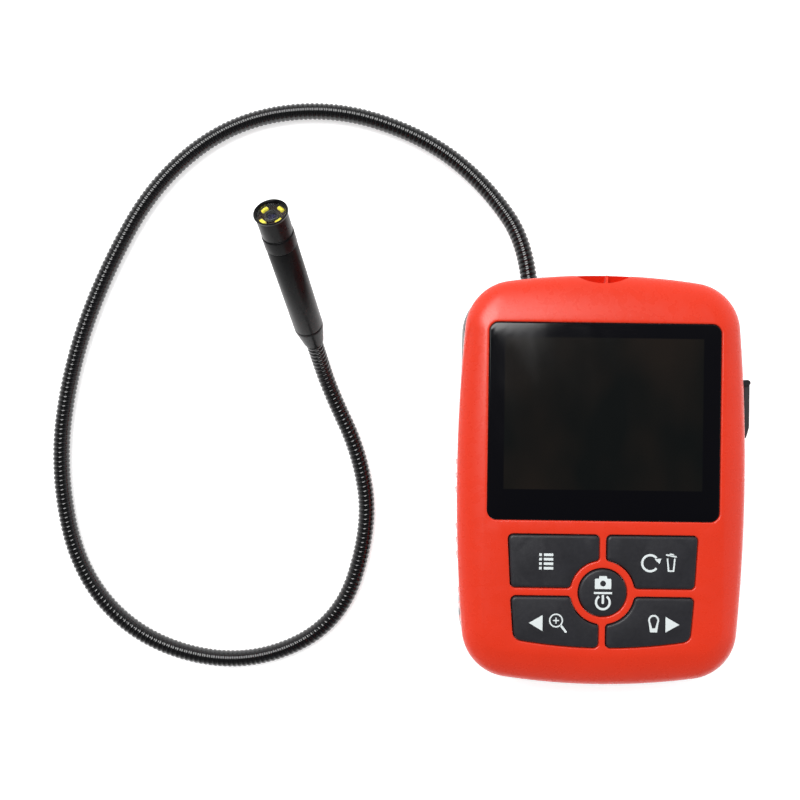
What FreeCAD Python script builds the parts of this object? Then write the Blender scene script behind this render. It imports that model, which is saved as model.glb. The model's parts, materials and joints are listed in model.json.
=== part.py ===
"""Hand-held inspection camera: display handset with a semi-rigid gooseneck and a lit camera head.

Frame: the handset lies on its back. The origin is the centre of the handset's footprint on the ground,
+X to the right of the screen, +Y to the end where the gooseneck leaves, +Z out of the screen. Millimetres.
"""
import FreeCAD, Part
import Sketcher
import math
import os
import re
from FreeCAD import Vector

doc = FreeCAD.newDocument("inspection_camera")

# ---------------------------------------------------------------- driving dimensions

SIZES = {
    # housing
    "body_width": 80.6,
    "body_length": 114.6,
    "face_height": 32.6,
    "parting_height": 15.0,
    "wall": 2.4,
    "side_bow": 800.0,
    "end_bow": 160.0,
    "corner_radius": 12.0,
    "shoulder_radius": 6.5,
    "rear_inset": 1.0,
    "rear_wall": 2.2,
    "rear_corner_radius": 7.0,
    "rear_edge_radius": 5.0,
    "post_x": 33.8,
    "post_y": 43.0,
    "notch_depth": 2.0,
    "notch_radius": 15.0,
    "notch_floor": 21.0,
    "rib_pitch": 4.0,
    "rib_width": 1.6,
    "rib_height": 0.5,
    "rib_group_pitch": 18.5,
    # display
    "window_width": 63.3,
    "window_length": 54.3,
    "window_radius": 2.6,
    "window_centre": 16.2,
    "window_thickness": 1.2,
    "window_recess": 0.2,
    "tape_thickness": 0.2,
    "display_centre": 18.2,
    "view_width": 57.2,
    "view_length": 44.0,
    "module_width": 60.0,
    "module_low": -8.0,
    "module_high": 41.5,
    "module_base": 25.7,
    "module_top": 29.7,
    "sheet_metal": 0.3,
    # keypad
    "keypad_centre": -30.4,
    "key_top": 33.0,
    "key_clearance": 0.25,
    "key_flange": 0.9,
    "flange_base": 29.15,
    "flange_top": 30.15,
    "key_corner": 1.2,
    "key_edge": 0.5,
    "column_gap": 2.24,
    "row_gap": 2.6,
    "upper_key_reach": 25.8,
    "upper_key_top": 15.4,
    "lower_key_reach": 24.6,
    "lower_key_bottom": 15.1,
    "lower_key_bow": 137.0,
    "power_key_radius": 6.47,
    "key_ring_radius": 8.98,
    "nib_radius": 1.6,
    "plunger_radius": 1.75,
    "plunger_top": 27.8,
    "switch_width": 6.2,
    "switch_top": 27.3,
    # circuit board
    "board_base": 22.4,
    "board_thickness": 1.6,
    "board_width": 61.0,
    "board_low": -50.0,
    "board_high": 52.0,
    "board_screw_x": 27.5,
    "board_screw_low": -47.5,
    "board_screw_high": 48.0,
    # side port
    "port_centre": 19.5,
    "port_low": 17.6,
    "port_high": 26.2,
    "cover_low": 12.1,
    "cover_taper": 3.5,
    "cover_face": 42.15,
    "cover_back": 40.45,
    "flap_low": 16.95,
    "flap_high": 26.65,
    "hinge_x": 41.3,
    "hinge_y": 27.6,
    "knuckle_radius": 0.85,
    "pin_radius": 0.4,
    # batteries
    "cell_radius": 7.1,
    "cell_length": 50.5,
    "cell_pitch": 14.8,
    "cell_height": 10.8,
    "bay_low": -51.0,
    "bay_high": 5.2,
    "bay_half_width": 29.8,
    "bay_ceiling": 18.2,
    "contact_thickness": 0.3,
    "spring_wire": 0.3,
    "spring_pitch": 1.3,
    "spring_coil": 2.8,
    "spring_space": 5.1,
    "door_half_width": 28.95,
    "door_high": 2.0,
    # gooseneck and its entry
    "cable_radius": 2.5,
    "entry_x": -17.5,
    "entry_z": 10.0,
    "grommet_radius": 4.0,
    "clamp_low": 46.4,
    "clamp_high": 50.4,
    "lead_radius": 1.2,
    # camera head, along its own axis from the ferrule's cable end
    "ferrule_length": 8.1,
    "barrel_end": 40.3,
    "collar_end": 43.2,
    "collar_radius": 4.37,
    "groove_end": 46.2,
    "groove_radius": 4.02,
    "head_length": 53.2,
    "head_radius": 4.2,
    "head_bore": 3.55,
    "lamp_circle": 2.65,
    "lamp_length": 0.9,
    "lamp_width": 1.6,
    "lamp_height": 0.6,
    "lamp_seat": 50.1,
}

# The gooseneck's route from the clamp inside the housing, out over the ground and up to the head.
FLOOR = 2.55
ROUTE = [
    (-17.5, 46, 10),
    (-17.5, 66, 10),
    (-31, 87, 5),
    (-50, 102, FLOOR),
    (-78, 110.5, FLOOR),
    (-107.5, 106, FLOOR),
    (-131, 87.5, FLOOR),
    (-146.5, 59, FLOOR),
    (-156.5, 30, FLOOR),
    (-160, -0.5, FLOOR),
    (-153, -33, FLOOR),
    (-132.5, -53.5, FLOOR),
    (-101.5, -60, FLOOR),
    (-73.5, -47, FLOOR),
    (-64.5, -17, FLOOR),
    (-68, 5, FLOOR),
    (-77.5, 24.5, FLOOR),
    (-81, 36, 8.7),
    (-82.9, 43.5, 19.6),
]
HEAD_OFFSET = 4.5

# The thin lead from the gooseneck's inner end to the plug on the circuit board.
LEAD_ROUTE = [(-17.5, 46, 10), (-17.5, 37, 10), (-12, 28.5, 20.6), (-12, 19.5, 20.6)]

sheet = doc.addObject("Spreadsheet::Sheet", "Sizes")
for row, (alias, size) in enumerate(SIZES.items(), start=1):
    sheet.set(f"A{row}", alias)
    sheet.set(f"B{row}", str(size))
    sheet.setAlias(f"B{row}", alias)
doc.recompute()

pieces = {}


# ---------------------------------------------------------------- helpers

def bound(formula):
    """A formula of sheet names, spelt as a document expression."""
    return re.sub(r"[a-z][a-z_]+", lambda word: "Sizes." + word.group(0) if word.group(0) in SIZES
                  else word.group(0), str(formula))


def value(formula):
    return float(sheet.evalExpression(bound(formula)))


def keep(solid, label, placement=None):
    """Names a finished sub-part."""
    if placement is not None:
        solid.Placement = placement
    solid.Label = label
    pieces[label] = solid
    return solid


def box(name, x, y, z):
    """A block between (low, high) pairs of formulas."""
    solid = doc.addObject("Part::Box", name)
    for side, base, (low, high) in zip(("Length", "Width", "Height"), "xyz", (x, y, z)):
        solid.setExpression(side, bound(f"({high}) - ({low})"))
        solid.setExpression("Placement.Base." + base, bound(low))
    return solid


def cylinder(name, radius, length, x, y, z, axis=Vector(0, 0, 1)):
    """A round bar that starts at x, y, z and runs along axis."""
    solid = doc.addObject("Part::Cylinder", name)
    solid.Placement = FreeCAD.Placement(Vector(), FreeCAD.Rotation(Vector(0, 0, 1), axis))
    solid.setExpression("Radius", bound(radius))
    solid.setExpression("Height", bound(length))
    for base, formula in zip("xyz", (x, y, z)):
        solid.setExpression("Placement.Base." + base, bound(formula))
    return solid


def cut(name, base, *tools):
    """base without every tool."""
    solid = doc.addObject("Part::Cut", name)
    solid.Base = base
    solid.Tool = tools[0] if len(tools) == 1 else fuse(name + "_tools", *tools)
    return solid


def fuse(name, *solids):
    joined = doc.addObject("Part::MultiFuse", name)
    joined.Shapes = list(solids)
    joined.Refine = True
    return joined


def common(name, *solids):
    shared = doc.addObject("Part::MultiCommon", name)
    shared.Shapes = list(solids)
    return shared


def group(name, *solids):
    """Separate solids of one kind, kept as one sub-part."""
    bundle = doc.addObject("Part::Compound", name)
    bundle.Links = list(solids)
    return bundle


def rounded(name, base, radius, test):
    """base with a fillet on each edge that passes the test."""
    doc.recompute()
    solid = doc.addObject("Part::Fillet", name)
    solid.Base = base
    size = value(radius)
    solid.Edges = [(number, size, size) for number, edge in enumerate(base.Shape.Edges, start=1) if test(edge)]
    return solid


def upright(edge):
    low, high = edge.BoundBox.ZMin, edge.BoundBox.ZMax
    return len(edge.Vertexes) == 2 and edge.BoundBox.DiagonalLength - (high - low) < 0.001


def at_height(level):
    return lambda edge: abs(edge.BoundBox.ZMin - level) < 0.001 and abs(edge.BoundBox.ZMax - level) < 0.001


def new_body(name):
    return doc.addObject("PartDesign::Body", name)


def new_sketch(body, name, plane="XY_Plane", x=0, y=0, z=0):
    """A sketch on one of the body's own planes, moved by formulas in the sketch's own directions."""
    sketch = body.newObject("Sketcher::SketchObject", name)
    support = [feature for feature in body.Origin.OriginFeatures if feature.Role == plane][0]
    sketch.AttachmentSupport = [(support, "")]
    sketch.MapMode = "FlatFace"
    for base, formula in zip("xyz", (x, y, z)):
        sketch.setExpression("AttachmentOffset.Base." + base, bound(formula))
    return sketch


def constrain(sketch, kind, *where, formula=None):
    """Adds a constraint, bound to a formula where it has a size."""
    if formula is None:
        return sketch.addConstraint(Sketcher.Constraint(kind, *where))
    number = sketch.addConstraint(Sketcher.Constraint(kind, *where, value(formula)))
    sketch.setExpression(f"Constraints[{number}]", bound(formula))
    return number


def pin_point(sketch, piece, point, x, y):
    """Fixes a point of the sketch at formulas x and y from the sketch's origin."""
    for kind, axis, formula in (("DistanceX", -2, x), ("DistanceY", -1, y)):
        size = value(formula)
        if abs(size) < 1e-9:
            constrain(sketch, "PointOnObject", piece, point, axis)
        elif size > 0:
            constrain(sketch, kind, -1, 1, piece, point, formula=formula)
        else:
            constrain(sketch, kind, piece, point, -1, 1, formula=f"-({formula})")


def polygon(sketch, corners):
    """A closed outline of straight lines through pairs of formulas."""
    places = [Vector(value(x), value(y), 0) for x, y in corners]
    count = len(places)
    for here in range(count):
        sketch.addGeometry(Part.LineSegment(places[here], places[(here + 1) % count]))
    for here, (x, y) in enumerate(corners):
        constrain(sketch, "Coincident", (here - 1) % count, 2, here, 1)
        pin_point(sketch, here, 1, x, y)


def circles(sketch, radius, centres):
    for x, y in centres:
        centre = Vector(value(x), value(y), 0)
        number = sketch.addGeometry(Part.Circle(centre, Vector(0, 0, 1), value(radius)))
        pin_point(sketch, number, 3, x, y)
        constrain(sketch, "Radius", number, formula=radius)


def rounded_rectangle(sketch, width, length, radius):
    """A rectangle with round corners, centred on the sketch's origin."""
    half_x, half_y, r = value(width) / 2, value(length) / 2, value(radius)
    inner_x, inner_y = half_x - r, half_y - r
    for corner, (sx, sy) in enumerate(((1, 1), (-1, 1), (-1, -1), (1, -1))):
        start = corner * math.pi / 2
        circle = Part.Circle(Vector(sx * inner_x, sy * inner_y, 0), Vector(0, 0, 1), r)
        sketch.addGeometry(Part.ArcOfCircle(circle, start, start + math.pi / 2))
    ends = [(Vector(inner_x, half_y, 0), Vector(-inner_x, half_y, 0)),
            (Vector(-half_x, inner_y, 0), Vector(-half_x, -inner_y, 0)),
            (Vector(-inner_x, -half_y, 0), Vector(inner_x, -half_y, 0)),
            (Vector(half_x, -inner_y, 0), Vector(half_x, inner_y, 0))]
    for side, (start, end) in enumerate(ends):
        sketch.addGeometry(Part.LineSegment(start, end))
        constrain(sketch, "Tangent", side, 2, 4 + side, 1)
        constrain(sketch, "Tangent", 4 + side, 2, (side + 1) % 4, 1)
        constrain(sketch, ("Horizontal", "Vertical")[side % 2], 4 + side)
    for corner in (1, 2, 3):
        constrain(sketch, "Equal", 0, corner)
    constrain(sketch, "Radius", 0, formula=radius)
    constrain(sketch, "Symmetric", 0, 3, 2, 3, -1, 1)
    constrain(sketch, "DistanceX", 5, 1, 7, 1, formula=width)
    constrain(sketch, "DistanceY", 6, 1, 4, 1, formula=length)


def housing_outline(sketch, inset, corner):
    """The housing's plan: bowed sides and ends, joined by tangent corner arcs."""
    half_x, half_y = value(f"body_width/2 - ({inset})"), value(f"body_length/2 - ({inset})")
    side, end, r = value(f"side_bow - ({inset})"), value(f"end_bow - ({inset})"), value(corner)
    side_centre, end_centre = side - half_x, end - half_y
    # the corner arc touches the side arc and the end arc from within
    reach_side, reach_end = side - r, end - r
    span = math.hypot(side_centre, end_centre)
    along = (reach_side ** 2 - reach_end ** 2 + span ** 2) / (2 * span)
    across = math.sqrt(reach_side ** 2 - along ** 2)
    ux, uy = side_centre / span, -end_centre / span
    corner_x = -side_centre + along * ux - across * uy
    corner_y = along * uy + across * ux
    side_turn = math.atan2(corner_y, corner_x + side_centre)
    end_turn = math.atan2(corner_y + end_centre, corner_x)
    arcs = [(-side_centre, 0, side, -side_turn, side_turn),
            (corner_x, corner_y, r, side_turn, end_turn),
            (0, -end_centre, end, end_turn, math.pi - end_turn),
            (-corner_x, corner_y, r, math.pi - end_turn, math.pi - side_turn),
            (side_centre, 0, side, math.pi - side_turn, math.pi + side_turn),
            (-corner_x, -corner_y, r, math.pi + side_turn, math.pi + end_turn),
            (0, end_centre, end, math.pi + end_turn, 2 * math.pi - end_turn),
            (corner_x, -corner_y, r, -end_turn, -side_turn)]
    for x, y, radius, start, stop in arcs:
        circle = Part.Circle(Vector(x, y, 0), Vector(0, 0, 1), radius)
        sketch.addGeometry(Part.ArcOfCircle(circle, start, stop))
    for here in range(8):
        constrain(sketch, "Tangent", here, 2, (here + 1) % 8, 1)
    constrain(sketch, "PointOnObject", 0, 3, -1)
    constrain(sketch, "PointOnObject", 4, 3, -1)
    constrain(sketch, "PointOnObject", 2, 3, -2)
    constrain(sketch, "PointOnObject", 6, 3, -2)
    constrain(sketch, "Equal", 0, 4)
    constrain(sketch, "Equal", 2, 6)
    for other in (3, 5, 7):
        constrain(sketch, "Equal", 1, other)
    constrain(sketch, "Radius", 0, formula=f"side_bow - ({inset})")
    constrain(sketch, "Radius", 2, formula=f"end_bow - ({inset})")
    constrain(sketch, "Radius", 1, formula=corner)
    constrain(sketch, "DistanceX", 0, 3, -1, 1, formula="side_bow - body_width/2")
    constrain(sketch, "DistanceX", -1, 1, 4, 3, formula="side_bow - body_width/2")
    constrain(sketch, "DistanceY", 2, 3, -1, 1, formula="end_bow - body_length/2")
    constrain(sketch, "DistanceY", -1, 1, 6, 3, formula="end_bow - body_length/2")


def pad(body, sketch, length):
    feature = body.newObject("PartDesign::Pad", sketch.Name + "_pad")
    feature.Profile = sketch
    feature.setExpression("Length", bound(length))
    doc.recompute()
    return feature


def pocket(body, sketch, length):
    """Cuts along minus the sketch's normal, and stops the build if nothing was cut."""
    before = body.Shape.Volume
    feature = body.newObject("PartDesign::Pocket", sketch.Name + "_pocket")
    feature.Profile = sketch
    feature.setExpression("Length", bound(length))
    doc.recompute()
    if body.Shape.Volume > before - 0.01:
        raise RuntimeError(f"{sketch.Name} cuts nothing")
    return feature


def fillet(body, feature, radius, test):
    """Rounds each edge of the body's last feature that passes the test."""
    edges = [f"Edge{number}" for number, edge in enumerate(feature.Shape.Edges, start=1) if test(edge)]
    rounding = body.newObject("PartDesign::Fillet", feature.Name + "_fillet")
    rounding.Base = (feature, edges)
    rounding.setExpression("Radius", bound(radius))
    doc.recompute()
    return rounding


def chamfer(body, feature, size, test):
    edges = [f"Edge{number}" for number, edge in enumerate(feature.Shape.Edges, start=1) if test(edge)]
    bevel = body.newObject("PartDesign::Chamfer", feature.Name + "_chamfer")
    bevel.Base = (feature, edges)
    bevel.setExpression("Size", bound(size))
    doc.recompute()
    return bevel


def hollow(body, feature, wall, open_height):
    """Leaves a wall inside the feature's skin, open at the flat face of the given height."""
    faces = [f"Face{number}" for number, face in enumerate(feature.Shape.Faces, start=1)
             if abs(face.BoundBox.ZMin - open_height) < 0.001 and abs(face.BoundBox.ZMax - open_height) < 0.001]
    skin = body.newObject("PartDesign::Thickness", feature.Name + "_thickness")
    skin.Base = (feature, faces)
    skin.setExpression("Value", bound(wall))
    skin.Reversed = True
    skin.Mode = "Skin"
    skin.Join = "Intersection"
    doc.recompute()
    return skin


def turned(label, profile, placement=None):
    """A turned piece: the profile of (radius, height) formulas, revolved about the vertical."""
    body = new_body(label)
    sketch = new_sketch(body, label + "_profile", "XZ_Plane")
    polygon(sketch, profile)
    turn = body.newObject("PartDesign::Revolution", label + "_turn")
    turn.Profile = sketch
    turn.ReferenceAxis = (sketch, ["V_Axis"])
    turn.Angle = 360
    doc.recompute()
    return keep(body, label, placement)


def tube(route, radius):
    """A round bar along straight runs joined by tangent arcs, each as large as its two runs allow."""
    points = [Vector(*point) for point in route]
    edges = []
    start = points[0]
    length = 0
    for before, here, after in zip(points, points[1:], points[2:]):
        into, out = (here - before).normalize(), (after - here).normalize()
        turn = into.getAngle(out)
        trim = 0.45 * min((here - before).Length, (after - here).Length)
        bend = trim / math.tan(turn / 2)
        first, last = here - into * trim, here + out * trim
        towards = (out - into).normalize()
        middle = here + towards * (bend / math.cos(turn / 2) - bend)
        edges.append(Part.LineSegment(start, first).toShape())
        edges.append(Part.Arc(first, middle, last).toShape())
        length += (first - start).Length + bend * turn
        print(f"  turn {math.degrees(turn):5.1f} deg, radius {bend:6.1f} mm")
        start = last
    edges.append(Part.LineSegment(start, points[-1]).toShape())
    length += (points[-1] - start).Length
    path = Part.Wire(edges)
    section = Part.Wire(Part.Circle(points[0], points[1] - points[0], radius).toShape())
    solid = path.makePipeShell([section], True, False, 2)
    ideal = math.pi * radius ** 2 * length
    print(f"  length {length:.1f} mm, volume {solid.Volume:.1f} of {ideal:.1f} mm3")
    if abs(solid.Volume / ideal - 1) > 0.005:
        raise RuntimeError("the tube's volume is wrong")
    return solid


# ---------------------------------------------------------------- front shell

POSTS = [(sx + "post_x", sy + "post_y") for sx in ("", "-") for sy in ("", "-")]
BOARD_POSTS = [(x, y) for x in ("board_screw_x", "-board_screw_x")
               for y in ("board_screw_low", "board_screw_high")]
SEAT = "face_height - window_recess - window_thickness - tape_thickness"


def key_blank(name, side, row, grow, low, high, corner=None):
    """One of the four keys that share the ring, grown all round and between two heights."""
    near, reach = f"column_gap/2 - ({grow})", f"{row}_key_reach + ({grow})"
    x = (near, reach) if side == "right" else (f"-({reach})", f"-({near})")
    if row == "upper":
        y = (f"keypad_centre + row_gap/2 - ({grow})", f"keypad_centre + upper_key_top + ({grow})")
    else:
        y = (f"keypad_centre - lower_key_bottom - ({grow})", f"keypad_centre - row_gap/2 + ({grow})")
    depth = f"({high}) - ({low})"
    block = box(name + "_block", x, y, (low, high))
    ring = cylinder(name + "_ring", f"key_ring_radius - ({grow})", depth, 0, "keypad_centre", low)
    shape = cut(name + "_bitten", block, ring)
    if row == "lower":
        bow = cylinder(name + "_bow", f"lower_key_bow + ({grow})", depth, 0,
                       "keypad_centre - lower_key_bottom + lower_key_bow", low)
        shape = common(name + "_bowed", shape, bow)
    if corner:
        shape = rounded(name + "_corners", shape, corner, upright)
    return shape


KEYS = {
    "menu": ("left", "upper", "-13.8", "keypad_centre + 8.6"),
    "rotate_delete": ("right", "upper", "13.8", "keypad_centre + 8.6"),
    "zoom": ("left", "lower", "-13.2", "keypad_centre - 8.4"),
    "light": ("right", "lower", "13.2", "keypad_centre - 8.4"),
    "power": (None, None, "0", "keypad_centre"),
}


def make_front_shell():
    body = new_body("front_moulding")
    outline = new_sketch(body, "front_outline", z="parting_height")
    housing_outline(outline, "0", "corner_radius")
    block = pad(body, outline, "face_height - parting_height")
    dome = fillet(body, block, "shoulder_radius", at_height(value("face_height")))
    hollow(body, dome, "wall", value("parting_height"))

    seat = new_sketch(body, "window_seat", y="window_centre", z="face_height")
    rounded_rectangle(seat, "window_width + 0.2", "window_length + 0.2", "window_radius + 0.1")
    pocket(body, seat, f"face_height - ({SEAT})")
    view = new_sketch(body, "view_opening", y="display_centre", z="face_height")
    rounded_rectangle(view, "view_width", "view_length", "1.5")
    pocket(body, view, "wall + 0.5")

    posts = new_sketch(body, "case_posts", z="parting_height")
    circles(posts, "2.6", POSTS)
    pad(body, posts, "28.6 - parting_height")
    board_posts = new_sketch(body, "board_posts", z="board_base + board_thickness")
    circles(board_posts, "2.2", BOARD_POSTS)
    pad(body, board_posts, "30.4 - board_base - board_thickness")

    backing = box("notch_backing", ("-9.5", "9.5"), ("body_length/2 - 5.2", "body_length/2 - 2.2"),
                  ("notch_floor - 1.5", "30.4"))
    ribs = []
    for side in (-1, 1):
        for cluster in range(3):
            for rib in (-1, 0, 1):
                middle = f"-{cluster}*rib_group_pitch + {rib}*rib_pitch"
                wall_x = f"(body_width/2 - ({middle})^2/(2*side_bow))"
                x = (f"{wall_x} - 1", f"{wall_x} + rib_height")
                if side < 0:
                    x = (f"-({x[1]})", f"-({x[0]})")
                y = (f"{middle} - rib_width/2", f"{middle} + rib_width/2")
                name = f"grip_rib_{'lr'[side > 0]}{cluster}{rib + 1}"
                ribs.append(box(name, x, y, ("parting_height + 0.4", "parting_height + 8")))
    lugs = [box(f"hinge_lug_{number}", ("cover_back - 2.2", "hinge_x + 0.75"),
                ("hinge_y - 0.75", "hinge_y + 0.9"), (low, high))
            for number, (low, high) in enumerate([("15.9", "16.8"), ("26.8", "27.6")])]
    solid = fuse("front_solid", body, backing, *ribs, *lugs)

    tools = []
    for name, (side, row, x, y) in KEYS.items():
        if side:
            tools.append(key_blank(f"{name}_opening", side, row, "key_clearance", "28.5", "face_height + 1",
                                   "key_corner + key_clearance"))
        else:
            tools.append(cylinder(f"{name}_opening", "power_key_radius + key_clearance",
                                  "face_height - 27.5", x, y, "28.5"))
    for number, (x, y) in enumerate(POSTS):
        tools.append(cylinder(f"pilot_{number}", "1.25", "12", x, y, "parting_height - 0.5"))
    for number, (x, y) in enumerate(BOARD_POSTS):
        tools.append(cylinder(f"board_pilot_{number}", "0.95", "5", x, y, "board_base + 1"))
    tools.append(box("port_opening", ("30", "45"), ("port_centre - 6.6", "port_centre + 6.6"),
                     ("port_low", "port_high")))
    tools.append(cylinder("lug_bore", "pin_radius", "12", "hinge_x", "hinge_y", "15.9"))
    scoop = cylinder("notch_scoop", "notch_radius", "20", 0, "body_length/2 - notch_depth + notch_radius",
                     "notch_floor")
    rib = box("notch_rib", ("-0.4", "0.4"), ("50", "body_length/2 - 0.3"), ("0", "30.6"))
    tools.append(cut("notch_tool", scoop, rib))
    keep(cut("front_shell_cut", solid, *tools), "front_shell")


# ---------------------------------------------------------------- rear shell and battery door

def rear_blank(name):
    """The rear half's outer form, before it is hollowed."""
    body = new_body(name)
    outline = new_sketch(body, name + "_outline")
    housing_outline(outline, "rear_inset", "rear_corner_radius")
    block = pad(body, outline, "parting_height")
    return body, fillet(body, block, "rear_edge_radius", at_height(0))


def make_rear_shell():
    body, form = rear_blank("rear_moulding")
    hollow(body, form, "rear_wall", value("parting_height"))
    posts = new_sketch(body, "rear_posts", z="rear_wall - 0.4")
    circles(posts, "3", POSTS)
    pad(body, posts, "parting_height - rear_wall + 0.35")

    bay_outer = ("-(bay_half_width + 1.2)", "bay_half_width + 1.2")
    rails = box("bay_rails", ("-32.2", "32.2"), ("bay_low - 1.6", "bay_high + 1.4"), ("rear_wall - 0.3", "5"))
    bay = box("bay_block", bay_outer, ("bay_low - 1.6", "bay_high + 1.4"), ("2", "bay_ceiling + 1.2"))
    limit = new_body("bay_limit")
    room = new_sketch(limit, "room_within_front_wall")
    housing_outline(room, "wall + 0.3", "corner_radius - wall - 0.3")
    pad(limit, room, "bay_ceiling + 1.2")
    bay = common("bay_within_wall", bay, limit)
    grip_seat = box("grommet_seat", ("entry_x - 6.5", "entry_x + 6.5"), ("52.8", "54.6"), ("2", "parting_height"))
    cradle = box("clamp_cradle", ("entry_x - 8", "entry_x + 8"), ("clamp_low", "clamp_high"),
                 ("2", "entry_z - 0.2"))
    solid = fuse("rear_solid", body, rails, bay, grip_seat, cradle)

    tools = [
        box("cell_space", ("-bay_half_width", "bay_half_width"), ("bay_low", "bay_high"), ("3", "bay_ceiling")),
        box("door_channel", ("-30.9", "30.9"), ("-60", "door_high + 0.15"), ("rear_wall", "3.45")),
        box("door_opening", ("-door_half_width - 0.15", "door_half_width + 0.15"),
            ("-60", "door_high + 0.15"), ("-1", "rear_wall + 0.1")),
        box("door_end_opening", ("-door_half_width - 0.15", "door_half_width + 0.15"),
            ("-60", "bay_low - 1.75"), ("-1", "9.15")),
        cylinder("cable_hole", "grommet_radius", "8", "entry_x", "51", "entry_z", Vector(0, 1, 0)),
        cylinder("cradle_groove", "cable_radius", "8", "entry_x", "clamp_low - 2", "entry_z", Vector(0, 1, 0)),
    ]
    for number, (x, y) in enumerate(POSTS):
        tools.append(cylinder(f"screw_well_{number}", "2.35", "5.2", x, y, "-1"))
        tools.append(cylinder(f"screw_way_{number}", "1.45", "20", x, y, "0"))
    for number, shift in enumerate(("-5.6", "5.6")):
        tools.append(cylinder(f"clamp_pilot_{number}", "1", "6", f"entry_x + ({shift})", "clamp_low + 2", "4"))
    keep(cut("rear_shell_cut", solid, *tools), "rear_shell")


def make_battery_door():
    blank, _ = rear_blank("door_blank")
    panel = box("door_panel", ("-door_half_width", "door_half_width"), ("-60", "door_high"), ("0.2", "2.3"))
    end_wall = box("door_end", ("-door_half_width", "door_half_width"), ("-60", "bay_low - 2.1"), ("0.2", "9"))
    skin = common("door_skin", blank, fuse("door_form", panel, end_wall))
    runners = box("door_runners", ("-30.7", "30.7"), ("bay_low + 0.4", "door_high - 0.1"), ("2.3", "3.3"))
    grooves = [box(f"door_groove_{number}", ("-9", "9"), (f"-44 + {number}*2.4", f"-43 + {number}*2.4"),
                   ("-1", "0.8")) for number in range(4)]
    relief = box("door_relief", ("-27.5", "27.5"), ("bay_low + 2", "door_high - 1.5"), ("2.6", "4"))
    keep(cut("battery_door_cut", fuse("door_solid", skin, runners), relief, *grooves), "battery_door")


# ---------------------------------------------------------------- display

def make_display():
    window = new_body("display_window")
    pane = new_sketch(window, "window_pane", y="window_centre", z=f"{SEAT} + tape_thickness")
    rounded_rectangle(pane, "window_width", "window_length", "window_radius")
    plate = pad(window, pane, "window_thickness")
    chamfer(window, plate, "0.25", at_height(value("face_height - window_recess")))
    keep(window, "display_window")

    tape = new_body("window_tape")
    strip = new_sketch(tape, "tape_outline", y="window_centre", z=SEAT)
    rounded_rectangle(strip, "window_width - 0.4", "window_length - 0.4", "window_radius - 0.2")
    pad(tape, strip, "tape_thickness")
    hole = new_sketch(tape, "tape_hole", y="display_centre", z=f"{SEAT} + tape_thickness")
    rounded_rectangle(hole, "view_width + 0.4", "view_length + 0.4", "1.5")
    pocket(tape, hole, "tape_thickness")
    keep(tape, "window_tape")

    gasket = new_body("display_gasket")
    rim = new_sketch(gasket, "gasket_outline", y="(module_low + module_high)/2", z="module_top")
    rounded_rectangle(rim, "module_width - 0.6", "module_high - module_low - 0.6", "1")
    pad(gasket, rim, "face_height - wall - module_top")
    gap = new_sketch(gasket, "gasket_hole", y="display_centre", z="face_height - wall")
    rounded_rectangle(gap, "view_width", "view_length", "1")
    pocket(gasket, gap, "face_height - wall - module_top")
    keep(gasket, "display_gasket")

    x = ("-module_width/2", "module_width/2")
    y = ("module_low", "module_high")
    inner_x = ("-module_width/2 + sheet_metal", "module_width/2 - sheet_metal")
    inner_y = ("module_low + sheet_metal", "module_high - sheet_metal")
    can = box("lcd_can", x, y, ("module_base", "module_top"))
    room = box("lcd_room", inner_x, inner_y, ("module_base + sheet_metal", "module_top - sheet_metal"))
    sight = box("lcd_sight", ("-28", "28"), ("display_centre - 21.2", "display_centre + 21.2"),
                ("module_top - 1", "module_top + 1"))
    keep(cut("lcd_frame_cut", can, room, sight), "lcd_frame")
    keep(box("backlight", inner_x, inner_y, ("module_base + sheet_metal", "module_base + 1.9")), "lcd_backlight")
    keep(box("lcd_cell", inner_x, inner_y, ("module_base + 1.9", "module_top - sheet_metal")), "lcd_glass")

    carrier = box("carrier_block", ("-29.5", "29.5"), ("module_low + 0.5", "module_high - 0.5"),
                  ("board_base + board_thickness", "module_base"))
    carrier_hole = box("carrier_hole", ("-26", "26"), ("module_low + 4", "module_high - 4"), ("23", "27"))
    carrier_gate = box("carrier_gate", ("20", "31"), ("port_centre - 6.4", "port_centre + 6.4"), ("23", "27"))
    keep(cut("lcd_carrier_cut", carrier, carrier_hole, carrier_gate), "lcd_carrier")

    keep(box("ribbon_socket", ("-11", "11"), ("-13.4", "-10.4"), ("board_base + board_thickness", "25.4")),
         "lcd_connector")
    ribbon = new_body("lcd_ribbon")
    side = new_sketch(ribbon, "ribbon_side", "YZ_Plane", z="-10")
    polygon(side, [("module_low", "26.2"), ("-8.8", "26"), ("-9.7", "25"), ("-10.4", "24.7"), ("-10.4", "24.95"),
                   ("-9.9", "25.2"), ("-9", "26.2"), ("module_low", "26.45")])
    pad(ribbon, side, "20")
    keep(ribbon, "lcd_ribbon")


# ---------------------------------------------------------------- keys and their switches

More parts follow.
